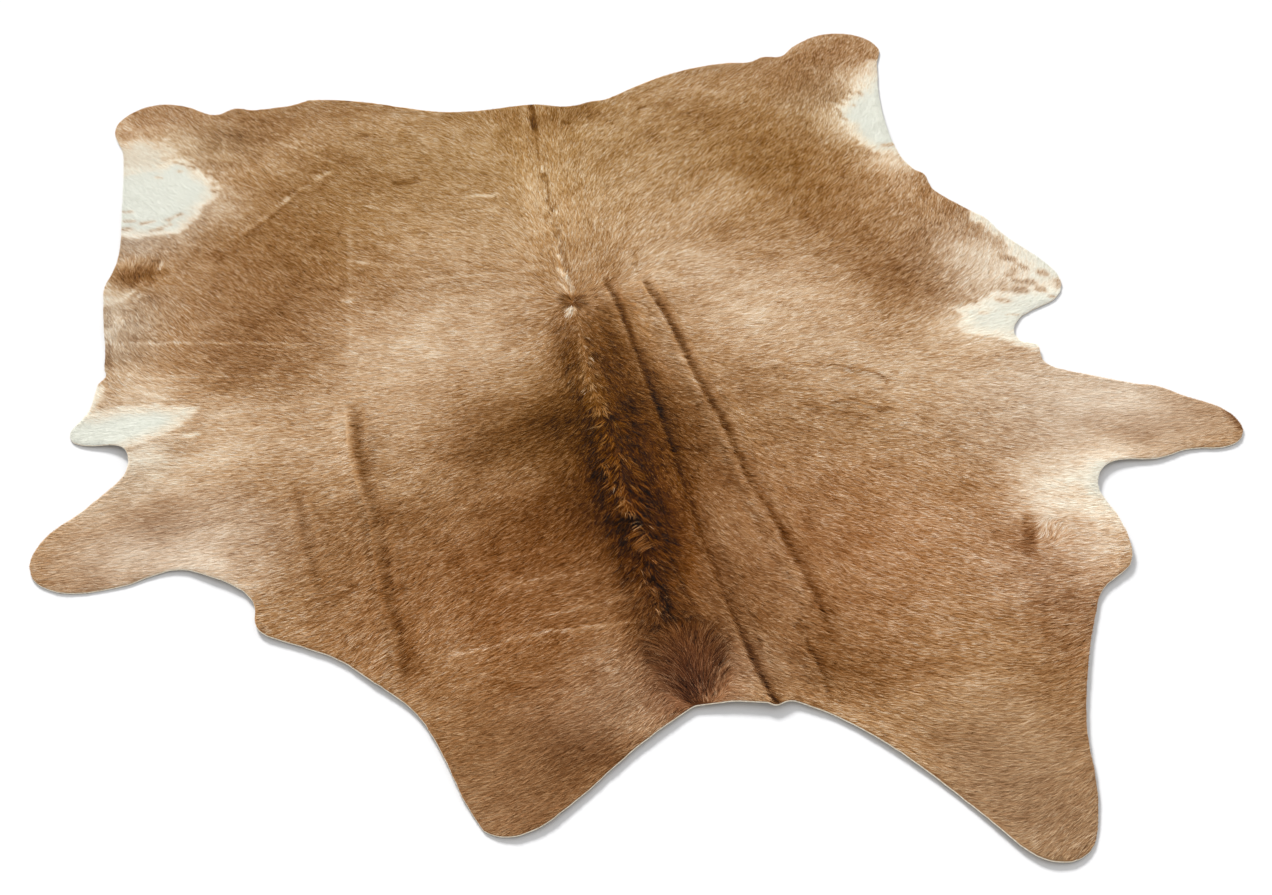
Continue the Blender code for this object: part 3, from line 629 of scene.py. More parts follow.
MARKS = rows_of(Mark, [
    (-0.012, 0.985, -0.02, 0.872, 0.0065, -32),  # tail stripe
    (-0.02, 0.87, -0.03, 0.76, 0.003, -15),  # tail stripe thin
    # tail line dark
    (-0.029, 0.7, -0.041, 0.56, 0.003, -8), (-0.041, 0.56, -0.047, 0.46, 0.003, -9),
    (-0.062, 0.67, -0.085, 0.5, 0.02, 5),  # tail line gold
    # scar rump
    (-0.727, 0.567, -0.662, 0.614, 0.004, 11), (-0.662, 0.614, -0.572, 0.711, 0.006, 14),
    (-0.572, 0.711, -0.47, 0.797, 0.0045, 15), (-0.506, 0.778, -0.482, 0.792, 0.008, 14),
    (-0.655, 0.6, -0.565, 0.697, 0.005, -8),  # scar rump shade
    # scar tail
    (-0.572, 0.934, -0.538, 0.904, 0.004, 15), (-0.538, 0.904, -0.465, 0.83, 0.0035, 15),
    # scar flank
    (-0.93, 0.297, -0.801, 0.278, 0.0032, 18), (-0.801, 0.278, -0.555, 0.22, 0.003, 14),
    (-0.871, 0.187, -0.596, 0.134, 0.0028, 9),
    # fold line
    (-0.443, 0.659, -0.461, 0.471, 0.0045, 7), (-0.461, 0.471, -0.482, 0.19, 0.0045, 7),
    # scar back
    (-0.542, 0.504, -0.433, 0.454, 0.0032, 12), (-0.447, 0.458, -0.33, 0.42, 0.006, 11),
    (-0.421, 0.662, -0.304, 0.61, 0.004, 10), (-0.447, 0.3, -0.344, 0.27, 0.004, 9),
    (-0.33, 0.372, -0.07, 0.366, 0.0026, 12),
    # scar neck
    (-0.4, -0.598, -0.244, -0.578, 0.004, 14), (-0.244, -0.578, -0.09, -0.588, 0.0034, 16),
    (-0.23, -0.545, -0.11, -0.53, 0.0032, 13), (-0.307, -0.471, -0.15, -0.462, 0.0036, 12),
    (-0.37, -0.42, -0.22, -0.4, 0.004, 8),
    # pale spot
    (-0.482, 0.346, -0.474, 0.342, 0.008, 14), (-0.585, 0.222, -0.57, 0.216, 0.005, 12),
    (-0.2, 0.65, -0.15, 0.642, 0.0055, 18),  # pale mark back
    # dark mark
    (-0.335, 0.728, -0.3, 0.732, 0.012, -16), (-0.395, 0.93, -0.385, 0.93, 0.008, -14),
    # darker marks beside the crease
    (0.055, -0.01, 0.06, -0.19, 0.016, -2), (0.06, -0.03, 0.135, -0.108, 0.008, -4),
    # tail smudge
    (0.05, 0.885, 0.085, 0.88, 0.007, -9), (0.1, 0.905, 0.13, 0.912, 0.006, -9),
    # left edge brown
    (-0.929, 0.408, -0.927, 0.345, 0.0075, -13), (-0.927, 0.285, -0.927, 0.235, 0.0075, -13),
    # belly blob
    (0.308, -0.14, 0.326, -0.15, 0.007, -12), (0.422, -0.182, 0.442, -0.18, 0.0065, -12),
    (0.32, -0.162, 0.4, -0.184, 0.008, -6),  # belly band
    # belly blob
    (0.483, -0.079, 0.493, -0.08, 0.004, -10), (0.352, -0.029, 0.366, -0.031, 0.0035, -9),
    (0.588, -0.49, 0.56, -0.566, 0.011, -16),  # swirl crescent, painted shade of its hollow
    (0.604, -0.512, 0.58, -0.562, 0.008, 8),  # swirl rim, painted highlight
])
MARK_WARPS = [(0.020, 0.0030, 55), (0.006, 0.0012, 57)]  # size, metres either way, seed
PATCH_WARPS = [(0.080, 0.018, 51), (0.020, 0.006, 53)]
MOTTLES = [(0.170, 2.2, 41), (0.070, 2.4, 42), (0.028, 1.8, 43)]  # size, tones either way, seed
STREAKS = [  # grain, step along the hair, steps either way, tones, seed
    (0.0045, 0.003, 2, 0.9, 44),
    (0.0090, 0.005, 2, 1.1, 45),
    (0.0180, 0.008, 2, 1.7, 46),
]
TONE_RANGE = (2, 97)
DARK_TONES = (20, 55)
DARK_FINE = (0.45, 0.55)  # share of the streaks that dark hair shows, and that pale hair adds
WHITE_FINE = 0.7  # share that white hair shows
WHITE_STEPS = 12
WHITE_EASE = 0.002
RIM_LOBES = (0.030, 61)  # a white place's ragged rim: size and seed of its lobes
RIM_STREAKS = (0.004, 0.003, 3, 62)  # and grain, step, steps and seed of its streaks
RIM_STREAK_SHARE = 0.4
RIM_LIMIT = 1.2
THIN_DEPTHS = (0.005, 0.042)  # inside that rim the skin begins to show through, and does fully
MARK_ROOM = 0.01
SLEEK = rows_of(Patch, [  # where the hair lies more evenly, by the last value's share
    ("left_neck_lobe", -0.33, -0.88, 0.32, 0.32, 0.45),
    ("right_neck_lobe", 0.38, -1.02, 0.3, 0.34, 0.45),
    ("right_fore_shank", 0.92, -0.3, 0.36, 0.26, 0.45),
    ("left_fore_shank", -0.9, -0.24, 0.3, 0.24, 0.35),
    ("neck", 0.02, -0.54, 0.72, 0.42, 0.14),
])
Hue = namedtuple("Hue", "name x y half_x half_y richer redder turn", defaults=[0])
HUES = rows_of(Hue, [  # where the colour is richer, in percent, and redder, in degrees
    ("rump", -0.05, 0.8, 0.98, 0.62, 5, -2.6),
    ("left_rump", -0.56, 0.56, 0.3, 0.4, 3, 0),
    ("right_rump", 0.5, 0.6, 0.3, 0.45, 4, -0.5),
    ("neck_half", 0.05, -0.52, 0.82, 0.38, 6, 3.6),
    ("neck_middle", 0.02, -0.54, 0.36, 0.4, -8, -2.8),
    ("withers", -0.1, -0.08, 0.24, 0.26, 1, -1.4),
    ("spine", -0.03, -0.24, 0.11, 0.46, 11, 2.0),
    ("spine_top", 0.0, 0.15, 0.15, 0.13, 4, 0),
    ("left_neck_lobe", -0.33, -0.93, 0.34, 0.32, -7, 0),
    ("right_neck_lobe", 0.38, -1.08, 0.32, 0.36, -14, -1.5),
    ("neck_edge", -0.1, -0.74, 0.3, 0.17, -9, 0),
    ("left_groin", -0.88, 0.72, 0.26, 0.26, -33, -2),
    ("right_groin", 0.68, 0.82, 0.22, 0.26, -9, -2),
    ("left_hind_root", -0.74, 0.96, 0.18, 0.16, -8, -2),
    ("left_edge", -0.93, 0.36, 0.16, 0.22, -28, -3),
    ("left_flap", -0.93, 0.0, 0.21, 0.22, -24, -2),
    ("left_armpit", -0.83, -0.28, 0.3, 0.21, -20, 0),
    ("right_flap", 0.8, 0.14, 0.24, 0.34, -18, -1),
    ("right_fore_shank", 0.83, -0.25, 0.4, 0.27, -20, 0),
    ("right_neck_side", 0.6, -0.64, 0.19, 0.3, -6, 1),
    ("fan", -0.04, -0.72, 0.11, 0.14, 2, 3.2),
    ("left_flank_dark", -0.88, 0.515, 0.12, 0.09, 12, 0),
])


def bell(x, y, patch):
    """1 in the middle of an oval place, easing to 0 at its rim."""
    turn = math.radians(patch.turn)
    out_x, out_y = x - patch.x, y - patch.y
    u = (out_x * math.cos(turn) + out_y * math.sin(turn)) / patch.half_x
    v = (out_y * math.cos(turn) - out_x * math.sin(turn)) / patch.half_y
    return np.clip(1 - u * u - v * v, 0, 1) ** 2


def warped(warps):
    """The plan's places, each moved a little by soft noise, so that no mark looks drawn."""
    x, y = grid_x, grid_y
    for size, reach, seed in warps:
        x = x + reach * soft_noise(grid_x, grid_y, size, seed)
        y = y + reach * soft_noise(grid_x, grid_y, size, seed + 1)
    return x, y


def streaks(x, y, grain, step, steps, seed):
    """Grain drawn out along the hair: the mean of random grain at steps both ways along it."""
    way_x, way_y = read_off(lay_x, x, y), read_off(lay_y, x, y)
    drawn = sum(
        soft_noise(x + k * step * way_x, y + k * step * way_y, grain, seed)
        for k in range(-steps, steps + 1)
    )
    return drawn / drawn.std()


def along(mark, x, y):
    """The part of the plan round a short mark, and there 1 along the mark, easing to 0 round it."""
    part = window((mark.x0, mark.x1), (mark.y0, mark.y1), 3 * mark.half + MARK_ROOM)
    route = ((mark.x0, mark.y0, 0), (mark.x1, mark.y1, 0))
    away = np.abs(beside(route, x[part], y[part])[0])
    return part, 1 - eased(away, 0.5 * mark.half, 1.5 * mark.half)


def laid_over(patches, column):
    """One column of a table of soft patches, summed over the plan."""
    x, y = warped(PATCH_WARPS)
    return sum(getattr(patch, column) * bell(x, y, patch) for patch in patches)


sleek = laid_over(SLEEK, "change")
richness = laid_over(HUES, "richer") / 100
redness = laid_over(HUES, "redder") / 360


def lay_out_tone():
    """The tone of every place on the plan, from broad patches down to flecks, with the creases'
    painted shade and painted highlight added last, and how far the skin shows through there."""
    tone = MIDDLE_TONE + laid_over(PATCHES, "change")
    for size, change, seed in MOTTLES:
        tone += change * soft_noise(grid_x, grid_y, size, seed)
    dark = DARK_FINE[0] + DARK_FINE[1] * eased(tone, *DARK_TONES)
    fine = sum(
        change * streaks(grid_x, grid_y, grain, step, steps, seed)
        for grain, step, steps, change, seed in STREAKS
    )
    fine = fine * (1 - sleek)
    tone += dark * fine
    thin = np.zeros(grid_x.shape)
    rough = RIM_STREAK_SHARE * streaks(grid_x, grid_y, *RIM_STREAKS)
    rough = np.clip(soft_noise(grid_x, grid_y, *RIM_LOBES) + rough, -RIM_LIMIT, RIM_LIMIT)
    for white in WHITES:
        deep = inset_of(eased_line(white.outline, WHITE_STEPS, True)) + white.ragged * rough
        share = eased(deep, -white.soft, white.soft + WHITE_EASE)
        tone += (white.tone + WHITE_FINE * fine - tone) * share
        thin = np.maximum(thin, white.thin * eased(deep, *THIN_DEPTHS))
    x, y = warped(MARK_WARPS)
    for fleck in FLECKS:
        part, share = along(fleck, x, y)
        tone[part] += (fleck.tone - tone[part]) * share
        thin[part] *= 1 - share
    for mark in MARKS:
        part, share = along(mark, x, y)
        tone[part] += mark.change * share
    return np.clip(tone + crease_painted_shade, *TONE_RANGE), thin


tones, thins = lay_out_tone()


def tone_at(x, y):
    """Tone of the coat at any points."""
    return read_off(tones, x, y)


def thin_at(x, y):
    """How far the skin shows through the hair at any points."""
    return read_off(thins, x, y)


def put_values(mesh, name, values):
    """A number for each corner of a mesh, under a name that its material reads."""
    mesh.attributes.new(name, "FLOAT", "POINT").data.foreach_set("value", values.ravel())


def put_hues(mesh, x, y):
    """How much richer and redder than its tone's colour each corner of a mesh is."""
    put_values(mesh, "rich", read_off(richness, x, y))
    put_values(mesh, "red", read_off(redness, x, y))


# The colours of a caramel hide from its blackest to its whitest hair, as one shader group that
# the skin under the coat and every hair share.
COAT_COLOURS = [
    (2, (15, 9, 4)),
    (8, (38, 19, 4)),
    (15, (63, 32, 4)),
    (22, (84, 45, 5)),
    (30, (104, 62, 19)),
    (38, (125, 81, 39)),
    (46, (145, 101, 59)),
    (54, (163, 122, 77)),
    (62, (181, 143, 101)),
    (70, (196, 165, 129)),
    (78, (212, 187, 156)),
    (86, (226, 214, 192)),
    (94, (236, 233, 219)),
]
THIN_COLOUR = (206, 208, 198)
GRAIN_TONE = 0.05
COAT_ROUGHNESS = (0.48, 0.72)
COAT_SPECULAR = 0.02
GROUP_SOCKETS = [
    ("Tone", "Float", "INPUT"),
    ("Thin", "Float", "INPUT"),
    ("Rich", "Float", "INPUT"),
    ("Red", "Float", "INPUT"),
    ("Colour", "Color", "OUTPUT"),
    ("Roughness", "Float", "OUTPUT"),
]


def mixed(red, green, blue):
    """A colour as light: each part of 255, off the screen's curve."""
    parts = np.array([red, green, blue]) / 255
    light = np.where(parts <= 0.04045, parts / 12.92, ((parts + 0.055) / 1.055) ** 2.4)
    return (*light, 1.0)


def set_inputs(tree, node, inputs):
    """Each named input of a shader node: fed by another node's output, or set to a value."""
    for name, value in inputs.items():
        if isinstance(value, bpy.types.NodeSocket):
            tree.links.new(value, node.inputs[name])
        else:
            node.inputs[name].default_value = value


def add_node(tree, kind, output, inputs, **settings):
    """A new shader node of a kind, as the one of its outputs that is used."""
    node = tree.nodes.new("ShaderNode" + kind)
    for name, value in settings.items():
        setattr(node, name, value)
    set_inputs(tree, node, inputs)
    return node.outputs[output]


def add_noise(tree, scale, detail):
    """Fine unevenness that stays in its place on the object."""
    place = add_node(tree, "TexCoord", "Object", {})
    return add_node(tree, "TexNoise", "Fac", {"Vector": place, "Scale": scale, "Detail": detail})


def add_ramp(tree, source, stops):
    """The colour that a value picks from a row of stops, each a value from 0 to 1 and a colour."""
    colour = add_node(tree, "ValToRGB", "Color", {"Fac": source})
    elements = colour.node.color_ramp.elements
    while len(elements) < len(stops):
        elements.new(0.5)
    for element, (position, mix) in zip(elements, stops):
        element.position = position
        element.color = mixed(*mix)
    return colour


def build_coat_group():
    """Tone, thinness, richness and redness in, colour and roughness out, with a fine grain from
    hair to hair."""
    group = bpy.data.node_groups.new("coat_colour", "ShaderNodeTree")
    for name, kind, way in GROUP_SOCKETS:
        group.interface.new_socket(name, in_out=way, socket_type="NodeSocket" + kind)
    entry, leave = group.nodes.new("NodeGroupInput").outputs, group.nodes.new("NodeGroupOutput")
    grain = add_noise(group, scale=650, detail=2)
    reach = {"Value": grain, "To Min": -GRAIN_TONE, "To Max": GRAIN_TONE}
    shift = add_node(group, "MapRange", "Result", reach)
    tone = add_node(group, "Math", "Value", {0: entry["Tone"], 1: shift}, operation="ADD")
    depth = add_node(group, "Math", "Value", {0: entry["Rich"], 1: 1}, operation="ADD")
    warmth = add_node(group, "Math", "Value", {0: 0.5, 1: entry["Red"]}, operation="SUBTRACT")
    plain = add_ramp(group, tone, [(stop / 100, colour) for stop, colour in COAT_COLOURS])
    enrich = {"Hue": warmth, "Saturation": depth, "Color": plain}
    colour = add_node(group, "HueSaturation", "Color", enrich)
    tint = {"Factor": entry["Thin"], "A": colour, "B": mixed(*THIN_COLOUR)}
    tinted = add_node(group, "Mix", "Result", tint, data_type="RGBA")
    reach = {"Value": grain, "To Min": COAT_ROUGHNESS[0], "To Max": COAT_ROUGHNESS[1]}
    roughness = add_node(group, "MapRange", "Result", reach)
    set_inputs(group, leave, {"Colour": tinted, "Roughness": roughness})
    return group


coat_colour = build_coat_group()


def new_material(name):
    """An empty material, its shader tree and its Principled shader."""
    material = bpy.data.materials.new(name)
    material.use_nodes = True
    return material, material.node_tree, material.node_tree.nodes["Principled BSDF"]


def coat_material(name, depth):
    """The shared coat colours, read from a piece's own values, made darker by depth, a painted shade."""
    material, tree, shader = new_material(name)
    values = {
        label: add_node(tree, "Attribute", "Fac", {}, attribute_name=label.lower())
        for label in ("Tone", "Thin", "Rich", "Red")
    }
    if depth:
        shaded_tone_inputs = {0: values["Tone"], 1: depth / 100}
        values["Tone"] = add_node(tree, "Math", "Value", shaded_tone_inputs, operation="SUBTRACT")
    paint = tree.nodes.new("ShaderNodeGroup")
    paint.node_tree = coat_colour
    set_inputs(tree, paint, values)
    set_inputs(tree, shader, {
        "Base Color": paint.outputs["Colour"],
        "Roughness": paint.outputs["Roughness"],
        "Specular IOR Level": COAT_SPECULAR,
    })
    return material


# The skin: tanned leather about 2.5 mm thick, grain side up under the hair, with a suede
# underside and a pale raw edge where it was cut. Close rows of points follow the long creases.
SKIN_THICKNESS = 0.0025
SKIN_PITCH = 0.0165
CREASE_OFFSETS = (-0.015, -0.008, -0.004, 0.0, 0.005, 0.011, 0.018)
CREASE_PITCH = 0.011
CREASE_ROOM = 0.023
SKIN_EDGE_ROOM = 0.006
SUEDE_LIGHT = (206, 190, 164)
SUEDE_DARK = (172, 151, 122)
RAW_EDGE = (238, 230, 212)
SUEDE_STOPS = [(0.35, SUEDE_DARK), (0.62, SUEDE_LIGHT)]
RAW_STOPS = [(0.3, SUEDE_LIGHT), (0.6, RAW_EDGE)]
GRAIN_SIDE_PAINTED_SHADE = 7  # tones of painted shade: the skin between the hairs is darker than they are


def crease_rows(crease):
    """Rows of points along a crease, each CREASE_OFFSETS to its left."""
    line = eased_line(crease.route, ROUTE_STEPS, False)[:, :2]
    run = np.concatenate([[0], np.cumsum(np.linalg.norm(np.diff(line, axis=0), axis=1))])
    t = np.linspace(0, run[-1], int(run[-1] / CREASE_PITCH))
    line = np.stack([np.interp(t, run, line[:, 0]), np.interp(t, run, line[:, 1])], axis=1)
    way = np.gradient(line, axis=0)
    way /= np.linalg.norm(way, axis=1)[:, None]
    left = np.stack([-way[:, 1], way[:, 0]], axis=1)
    return np.concatenate([line + offset * left for offset in CREASE_OFFSETS])


def skin_points():
    """Places for the skin's corners: a staggered grid, with close rows along the long creases."""
    row_pitch = SKIN_PITCH * math.sqrt(3) / 2
    rows = np.arange(plan_low[1], plan_high[1], row_pitch)
    columns = np.arange(plan_low[0], plan_high[0], SKIN_PITCH)
    x, y = np.meshgrid(columns, rows)
    x = x + (np.arange(len(rows)) % 2)[:, None] * SKIN_PITCH / 2
    points = np.stack([x.ravel(), y.ravel()], axis=1)
    for crease in LONG_CREASES:
        across, _ = beside(crease.route, *points.T)
        points = np.concatenate([points[np.abs(across) > CREASE_ROOM], crease_rows(crease)])
    return points[inside_by(*points.T) > SKIN_EDGE_ROOM]


def make_skin():
    """The sheet's upper face, filled in between the cut edge and its inner points."""
    flat = np.concatenate([cut, skin_points()])
    corners, _, triangles, *_ = delaunay_2d_cdt(
        [Vector(point) for point in flat], [], [list(range(len(cut)))], 1, TINY
    )
    plan = np.array([tuple(corner) for corner in corners])
    height = lift(*plan.T) + SKIN_THICKNESS
    mesh = bpy.data.meshes.new("hide_skin")
    mesh.from_pydata(np.column_stack([plan, height]).tolist(), [], triangles)
    put_values(mesh, "tone", tone_at(*plan.T) / 100)
    put_values(mesh, "thin", thin_at(*plan.T))
    put_hues(mesh, *plan.T)
    mesh.shade_smooth()
    return bpy.data.objects.new("hide_skin", mesh)


def suede_material():
    """Napped flesh side: short fibres, darker where the nap was rubbed."""
    material, tree, shader = new_material("suede_side")
    broad, fine = add_noise(tree, scale=9, detail=5), add_noise(tree, scale=420, detail=3)
    blend = add_node(tree, "Mix", "Result", {"Factor": 0.35, "A": broad, "B": fine})
    relief = {"Strength": 0.35, "Distance": 0.001, "Height": fine}
    set_inputs(tree, shader, {
        "Base Color": add_ramp(tree, blend, SUEDE_STOPS),
        "Normal": add_node(tree, "Bump", "Normal", relief),
        "Roughness": 0.95,
        "Sheen Weight": 0.3,
    })
    return material


def raw_edge_material():
    """The cut through the leather: pale fibres with fine dark layers."""
    material, tree, shader = new_material("raw_edge")
    fibres = add_ramp(tree, add_noise(tree, scale=260, detail=3), RAW_STOPS)
    set_inputs(tree, shader, {"Base Color": fibres, "Roughness": 0.85})
    return material


skin = make_skin()
bpy.context.scene.collection.objects.link(skin)
for finish in (coat_material("grain_side", GRAIN_SIDE_PAINTED_SHADE), suede_material(), raw_edge_material()):
    skin.data.materials.append(finish)
wall = skin.modifiers.new("leather", "SOLIDIFY")
wall.thickness = SKIN_THICKNESS
wall.offset = -1
wall.material_offset = 1
wall.material_offset_rim = 2
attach(skin, "root")
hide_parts("hide")

# The coat: one short hair in every small square of the skin, lying down. Each hair is one flat
# blade, wide at its root in the skin, that rises over the hairs before it to a point.
Hairs = namedtuple("Hairs", "x y way length width rise roll curl tone thin")
Blade = namedtuple("Blade", "shares widths arch tones")
SHORT_BLADE = Blade((0.0, 1.0), (1.0, 0.0), (-0.25, 1.0), (-9, 3))
HAIR_PITCH = 0.00193
HAIR_LENGTH = (0.009, 0.014)
HAIR_WIDTH = (0.0007, 0.0012)
HAIR_RISE = (0.0010, 0.0030)
HAIR_SPREAD = 14.0  # tones from hair to hair
SPREAD_LIMITS = (-2.2, 1.0)
ROLL = 8
CURL = 10
STRAY = 5
LOCKS = (0.0016, 0.0014, 3)  # grain across a fine lock, and steps along it
LOCK_SEEDS = (81, 82)
LOCK_LIMIT = 2
LOCK_HIGHLIGHT_LIMIT = 1.2  # the most that a raised lock is lighter, in LOCK_TONES: a painted highlight
LOCK_TONES = 9.5  # what a lock's hairs share: tones, share of rise, degrees of roll and heading
CALM = 0.48  # share by which pale hair is more even than brown
CALM_TONES = (60, 88)
LOCK_RISE = 0.2
RISE_LIMITS = (0.3, 2)
LOCK_ROLL = 8
LOCK_STRAY = 6
THIN_HAIR = 0.35  # share by which hair in the white places is lower, shorter and more even
SHORT_HAIR = (0.3, 1)  # share of its rise that a trimmed hair keeps
TRIM_LIMITS = (0.2, 1)
ROOT_ROOM = 0.0008
FRINGE = (-0.0014, 0.0014)
SEEN_SHARE = 0.55  # of the way along a hair: where its colour is read
COAT_SEED = 70
Region = namedtuple("Region", "name side y_low y_high")
REGIONS = rows_of(Region, [
    ("coat_left_rump", -1, 0.34, 2.0),
    ("coat_right_rump", 1, 0.34, 2.0),
    ("coat_left_flank", -1, -0.22, 0.34),
    ("coat_right_flank", 1, -0.22, 0.34),
    ("coat_left_neck", -1, -2.0, -0.22),
    ("coat_right_neck", 1, -2.0, -0.22),
])


def blades(hairs, blade):
    """Hairs as arrays of corners, faces, tones and thinness. Each hair is a row of places from
    its root to its tip: a row steps on along the hair's heading, which curl turns, stands above
    the skin by its arch times the hair's rise, and is its share of the hair's width across. A row
    without width is a point, any other is a pair of corners, left and right."""
    shares, arch = np.array(blade.shares)[None, :], np.array(blade.arch)[None, :]
    way, curl = hairs.way[:, None], hairs.curl[:, None]
    bearing = way + curl * ((shares[:, 1:] + shares[:, :-1]) / 2 - 0.5)
    steps = np.diff(shares, axis=1) * hairs.length[:, None]
    start = np.zeros((len(hairs.x), 1))
    run_x = np.concatenate([start, np.cumsum(steps * np.cos(bearing), axis=1)], axis=1)
    run_y = np.concatenate([start, np.cumsum(steps * np.sin(bearing), axis=1)], axis=1)
    line_x, line_y = hairs.x[:, None] + run_x, hairs.y[:, None] + run_y
    line_z = lift(line_x, line_y) + SKIN_THICKNESS + hairs.rise[:, None] * arch
    line = np.stack([line_x, line_y, line_z], axis=2)
    facing = way + curl * (shares - 0.5)
    half = np.array(blade.widths)[None, :] * hairs.width[:, None] / 2
    flat, tilt = np.cos(hairs.roll)[:, None] * half, np.sin(hairs.roll)[:, None] * half
    side = np.stack([-np.sin(facing) * flat, np.cos(facing) * flat, tilt], axis=2)
    corners, shades, ends = [], [], []
    for row, across in enumerate(blade.widths):
        sides = (1, -1) if across else (0,)
        ends.append([len(corners) + k for k in range(len(sides))])
        corners += [line[:, row] + k * side[:, row] for k in sides]
        shades += [hairs.tone + blade.tones[row]] * len(sides)
    faces = []
    for near, far in zip(ends, ends[1:]):
        faces.append((near[0], near[1], far[-1]))
        if len(far) == 2:
            faces.append((near[0], far[1], far[0]))
    corners, shades = np.stack(corners, axis=1), np.stack(shades, axis=1)
    each = corners.shape[1]
    index = np.array(faces)[None] + each * np.arange(len(hairs.x))[:, None, None]
    return corners.reshape(-1, 3), index.reshape(-1, 3), shades.ravel(), np.repeat(hairs.thin, each)


def hair_piece(name, grown, finish):
    """One mesh of all the hairs grown for a piece, with their tones and a plan to bake on."""
    corners, index, shades, thins_there = grown
    index = index.ravel()
    mesh = bpy.data.meshes.new(name)
    mesh.vertices.add(len(corners))
    mesh.vertices.foreach_set("co", corners.astype(np.float32).ravel())
    mesh.loops.add(len(index))
    mesh.loops.foreach_set("vertex_index", index.astype(np.int32))
    mesh.polygons.add(len(index) // 3)
    mesh.polygons.foreach_set("loop_start", np.arange(0, len(index), 3, dtype=np.int32))
    mesh.update(calc_edges=True)
    put_values(mesh, "tone", np.clip(shades, *TONE_RANGE) / 100)
    put_values(mesh, "thin", thins_there)
    put_hues(mesh, *corners[:, :2].T)
    plan = (corners[:, :2] - plan_low) / (plan_high - plan_low).max()
    baked = mesh.uv_layers.new(name="OFBake")
    baked.data.foreach_set("uv", plan[index].astype(np.float32).ravel())
    mesh.shade_smooth()
    mesh.materials.append(finish)
    piece = bpy.data.objects.new(name, mesh)
    bpy.context.scene.collection.objects.link(piece)
    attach(piece, "root")
    return piece


def trimmed(x, y, way, length, draw):
    """Hair lengths cut back so that tips end about the hide's edge."""
    at_root = inside_by(x, y)
    at_tip = inside_by(x + np.cos(way) * length, y + np.sin(way) * length)
    past = -draw.uniform(*FRINGE, len(x))
    share = (at_root - past) / np.maximum(at_root - at_tip, TINY)
    return np.where(at_tip < past, length * np.clip(share, *TRIM_LIMITS), length)


def grow_coat(region, draw):
    """One hair in each small square of a region, anywhere in it, in no order."""
    rows = np.arange(max(region.y_low, plan_low[1]), min(region.y_high, plan_high[1]), HAIR_PITCH)
    x, y = np.meshgrid(np.arange(plan_low[0], plan_high[0], HAIR_PITCH), rows)
    x = (x + draw.uniform(0, HAIR_PITCH, x.shape)).ravel()
    y = (y + draw.uniform(0, HAIR_PITCH, y.shape)).ravel()
    kept = (inside_by(x, y) > ROOT_ROOM) & ((x - WHORL[0]) * region.side >= 0)
    order = draw.permutation(int(kept.sum()))
    x, y = x[kept][order], y[kept][order]
    count = len(x)
    thin = thin_at(x, y)
    fullness = 1 - THIN_HAIR * thin
    high, turned = (
        np.clip(streaks(x, y, *LOCKS, seed), -LOCK_LIMIT, LOCK_LIMIT) for seed in LOCK_SEEDS
    )
    way = heading(x, y) + np.radians(STRAY * draw.normal(size=count) + LOCK_STRAY * turned)
    length = draw.uniform(*HAIR_LENGTH, count) * (0.5 + 0.5 * fullness)
    length = trimmed(x, y, way, length, draw)
    width = draw.uniform(*HAIR_WIDTH, count)
    short = np.clip(length / HAIR_LENGTH[0], *SHORT_HAIR)
    rise = draw.uniform(*HAIR_RISE, count) * short * fullness
    rise = rise * np.clip(1 + LOCK_RISE * high, *RISE_LIMITS)
    roll = np.radians(ROLL * draw.normal(size=count) + LOCK_ROLL * turned) * fullness
    curl = np.radians(CURL) * draw.normal(size=count)
    seen_x = x + SEEN_SHARE * length * np.cos(way)
    seen_y = y + SEEN_SHARE * length * np.sin(way)
    uneven = HAIR_SPREAD * np.clip(draw.normal(size=count), *SPREAD_LIMITS)
    # A lock's tone goes with its rise: raised locks lighter and low gaps darker, partly the hair's own
    # streaks and partly painted highlight and painted shade.
    uneven = uneven + LOCK_TONES * np.minimum(high, LOCK_HIGHLIGHT_LIMIT)
    tone = tone_at(seen_x, seen_y)
    evenness = (1 - CALM * eased(tone, *CALM_TONES)) * (1 - read_off(sleek, x, y))
    tone = tone + fullness * evenness * uneven
    hairs = Hairs(x, y, way, length, width, rise, roll, curl, tone, thin_at(seen_x, seen_y))
    return blades(hairs, SHORT_BLADE)


hair = coat_material("short_hair", 0)
coat = [
    hair_piece(region.name, grow_coat(region, np.random.default_rng(COAT_SEED + number)), hair)
    for number, region in enumerate(REGIONS)
]

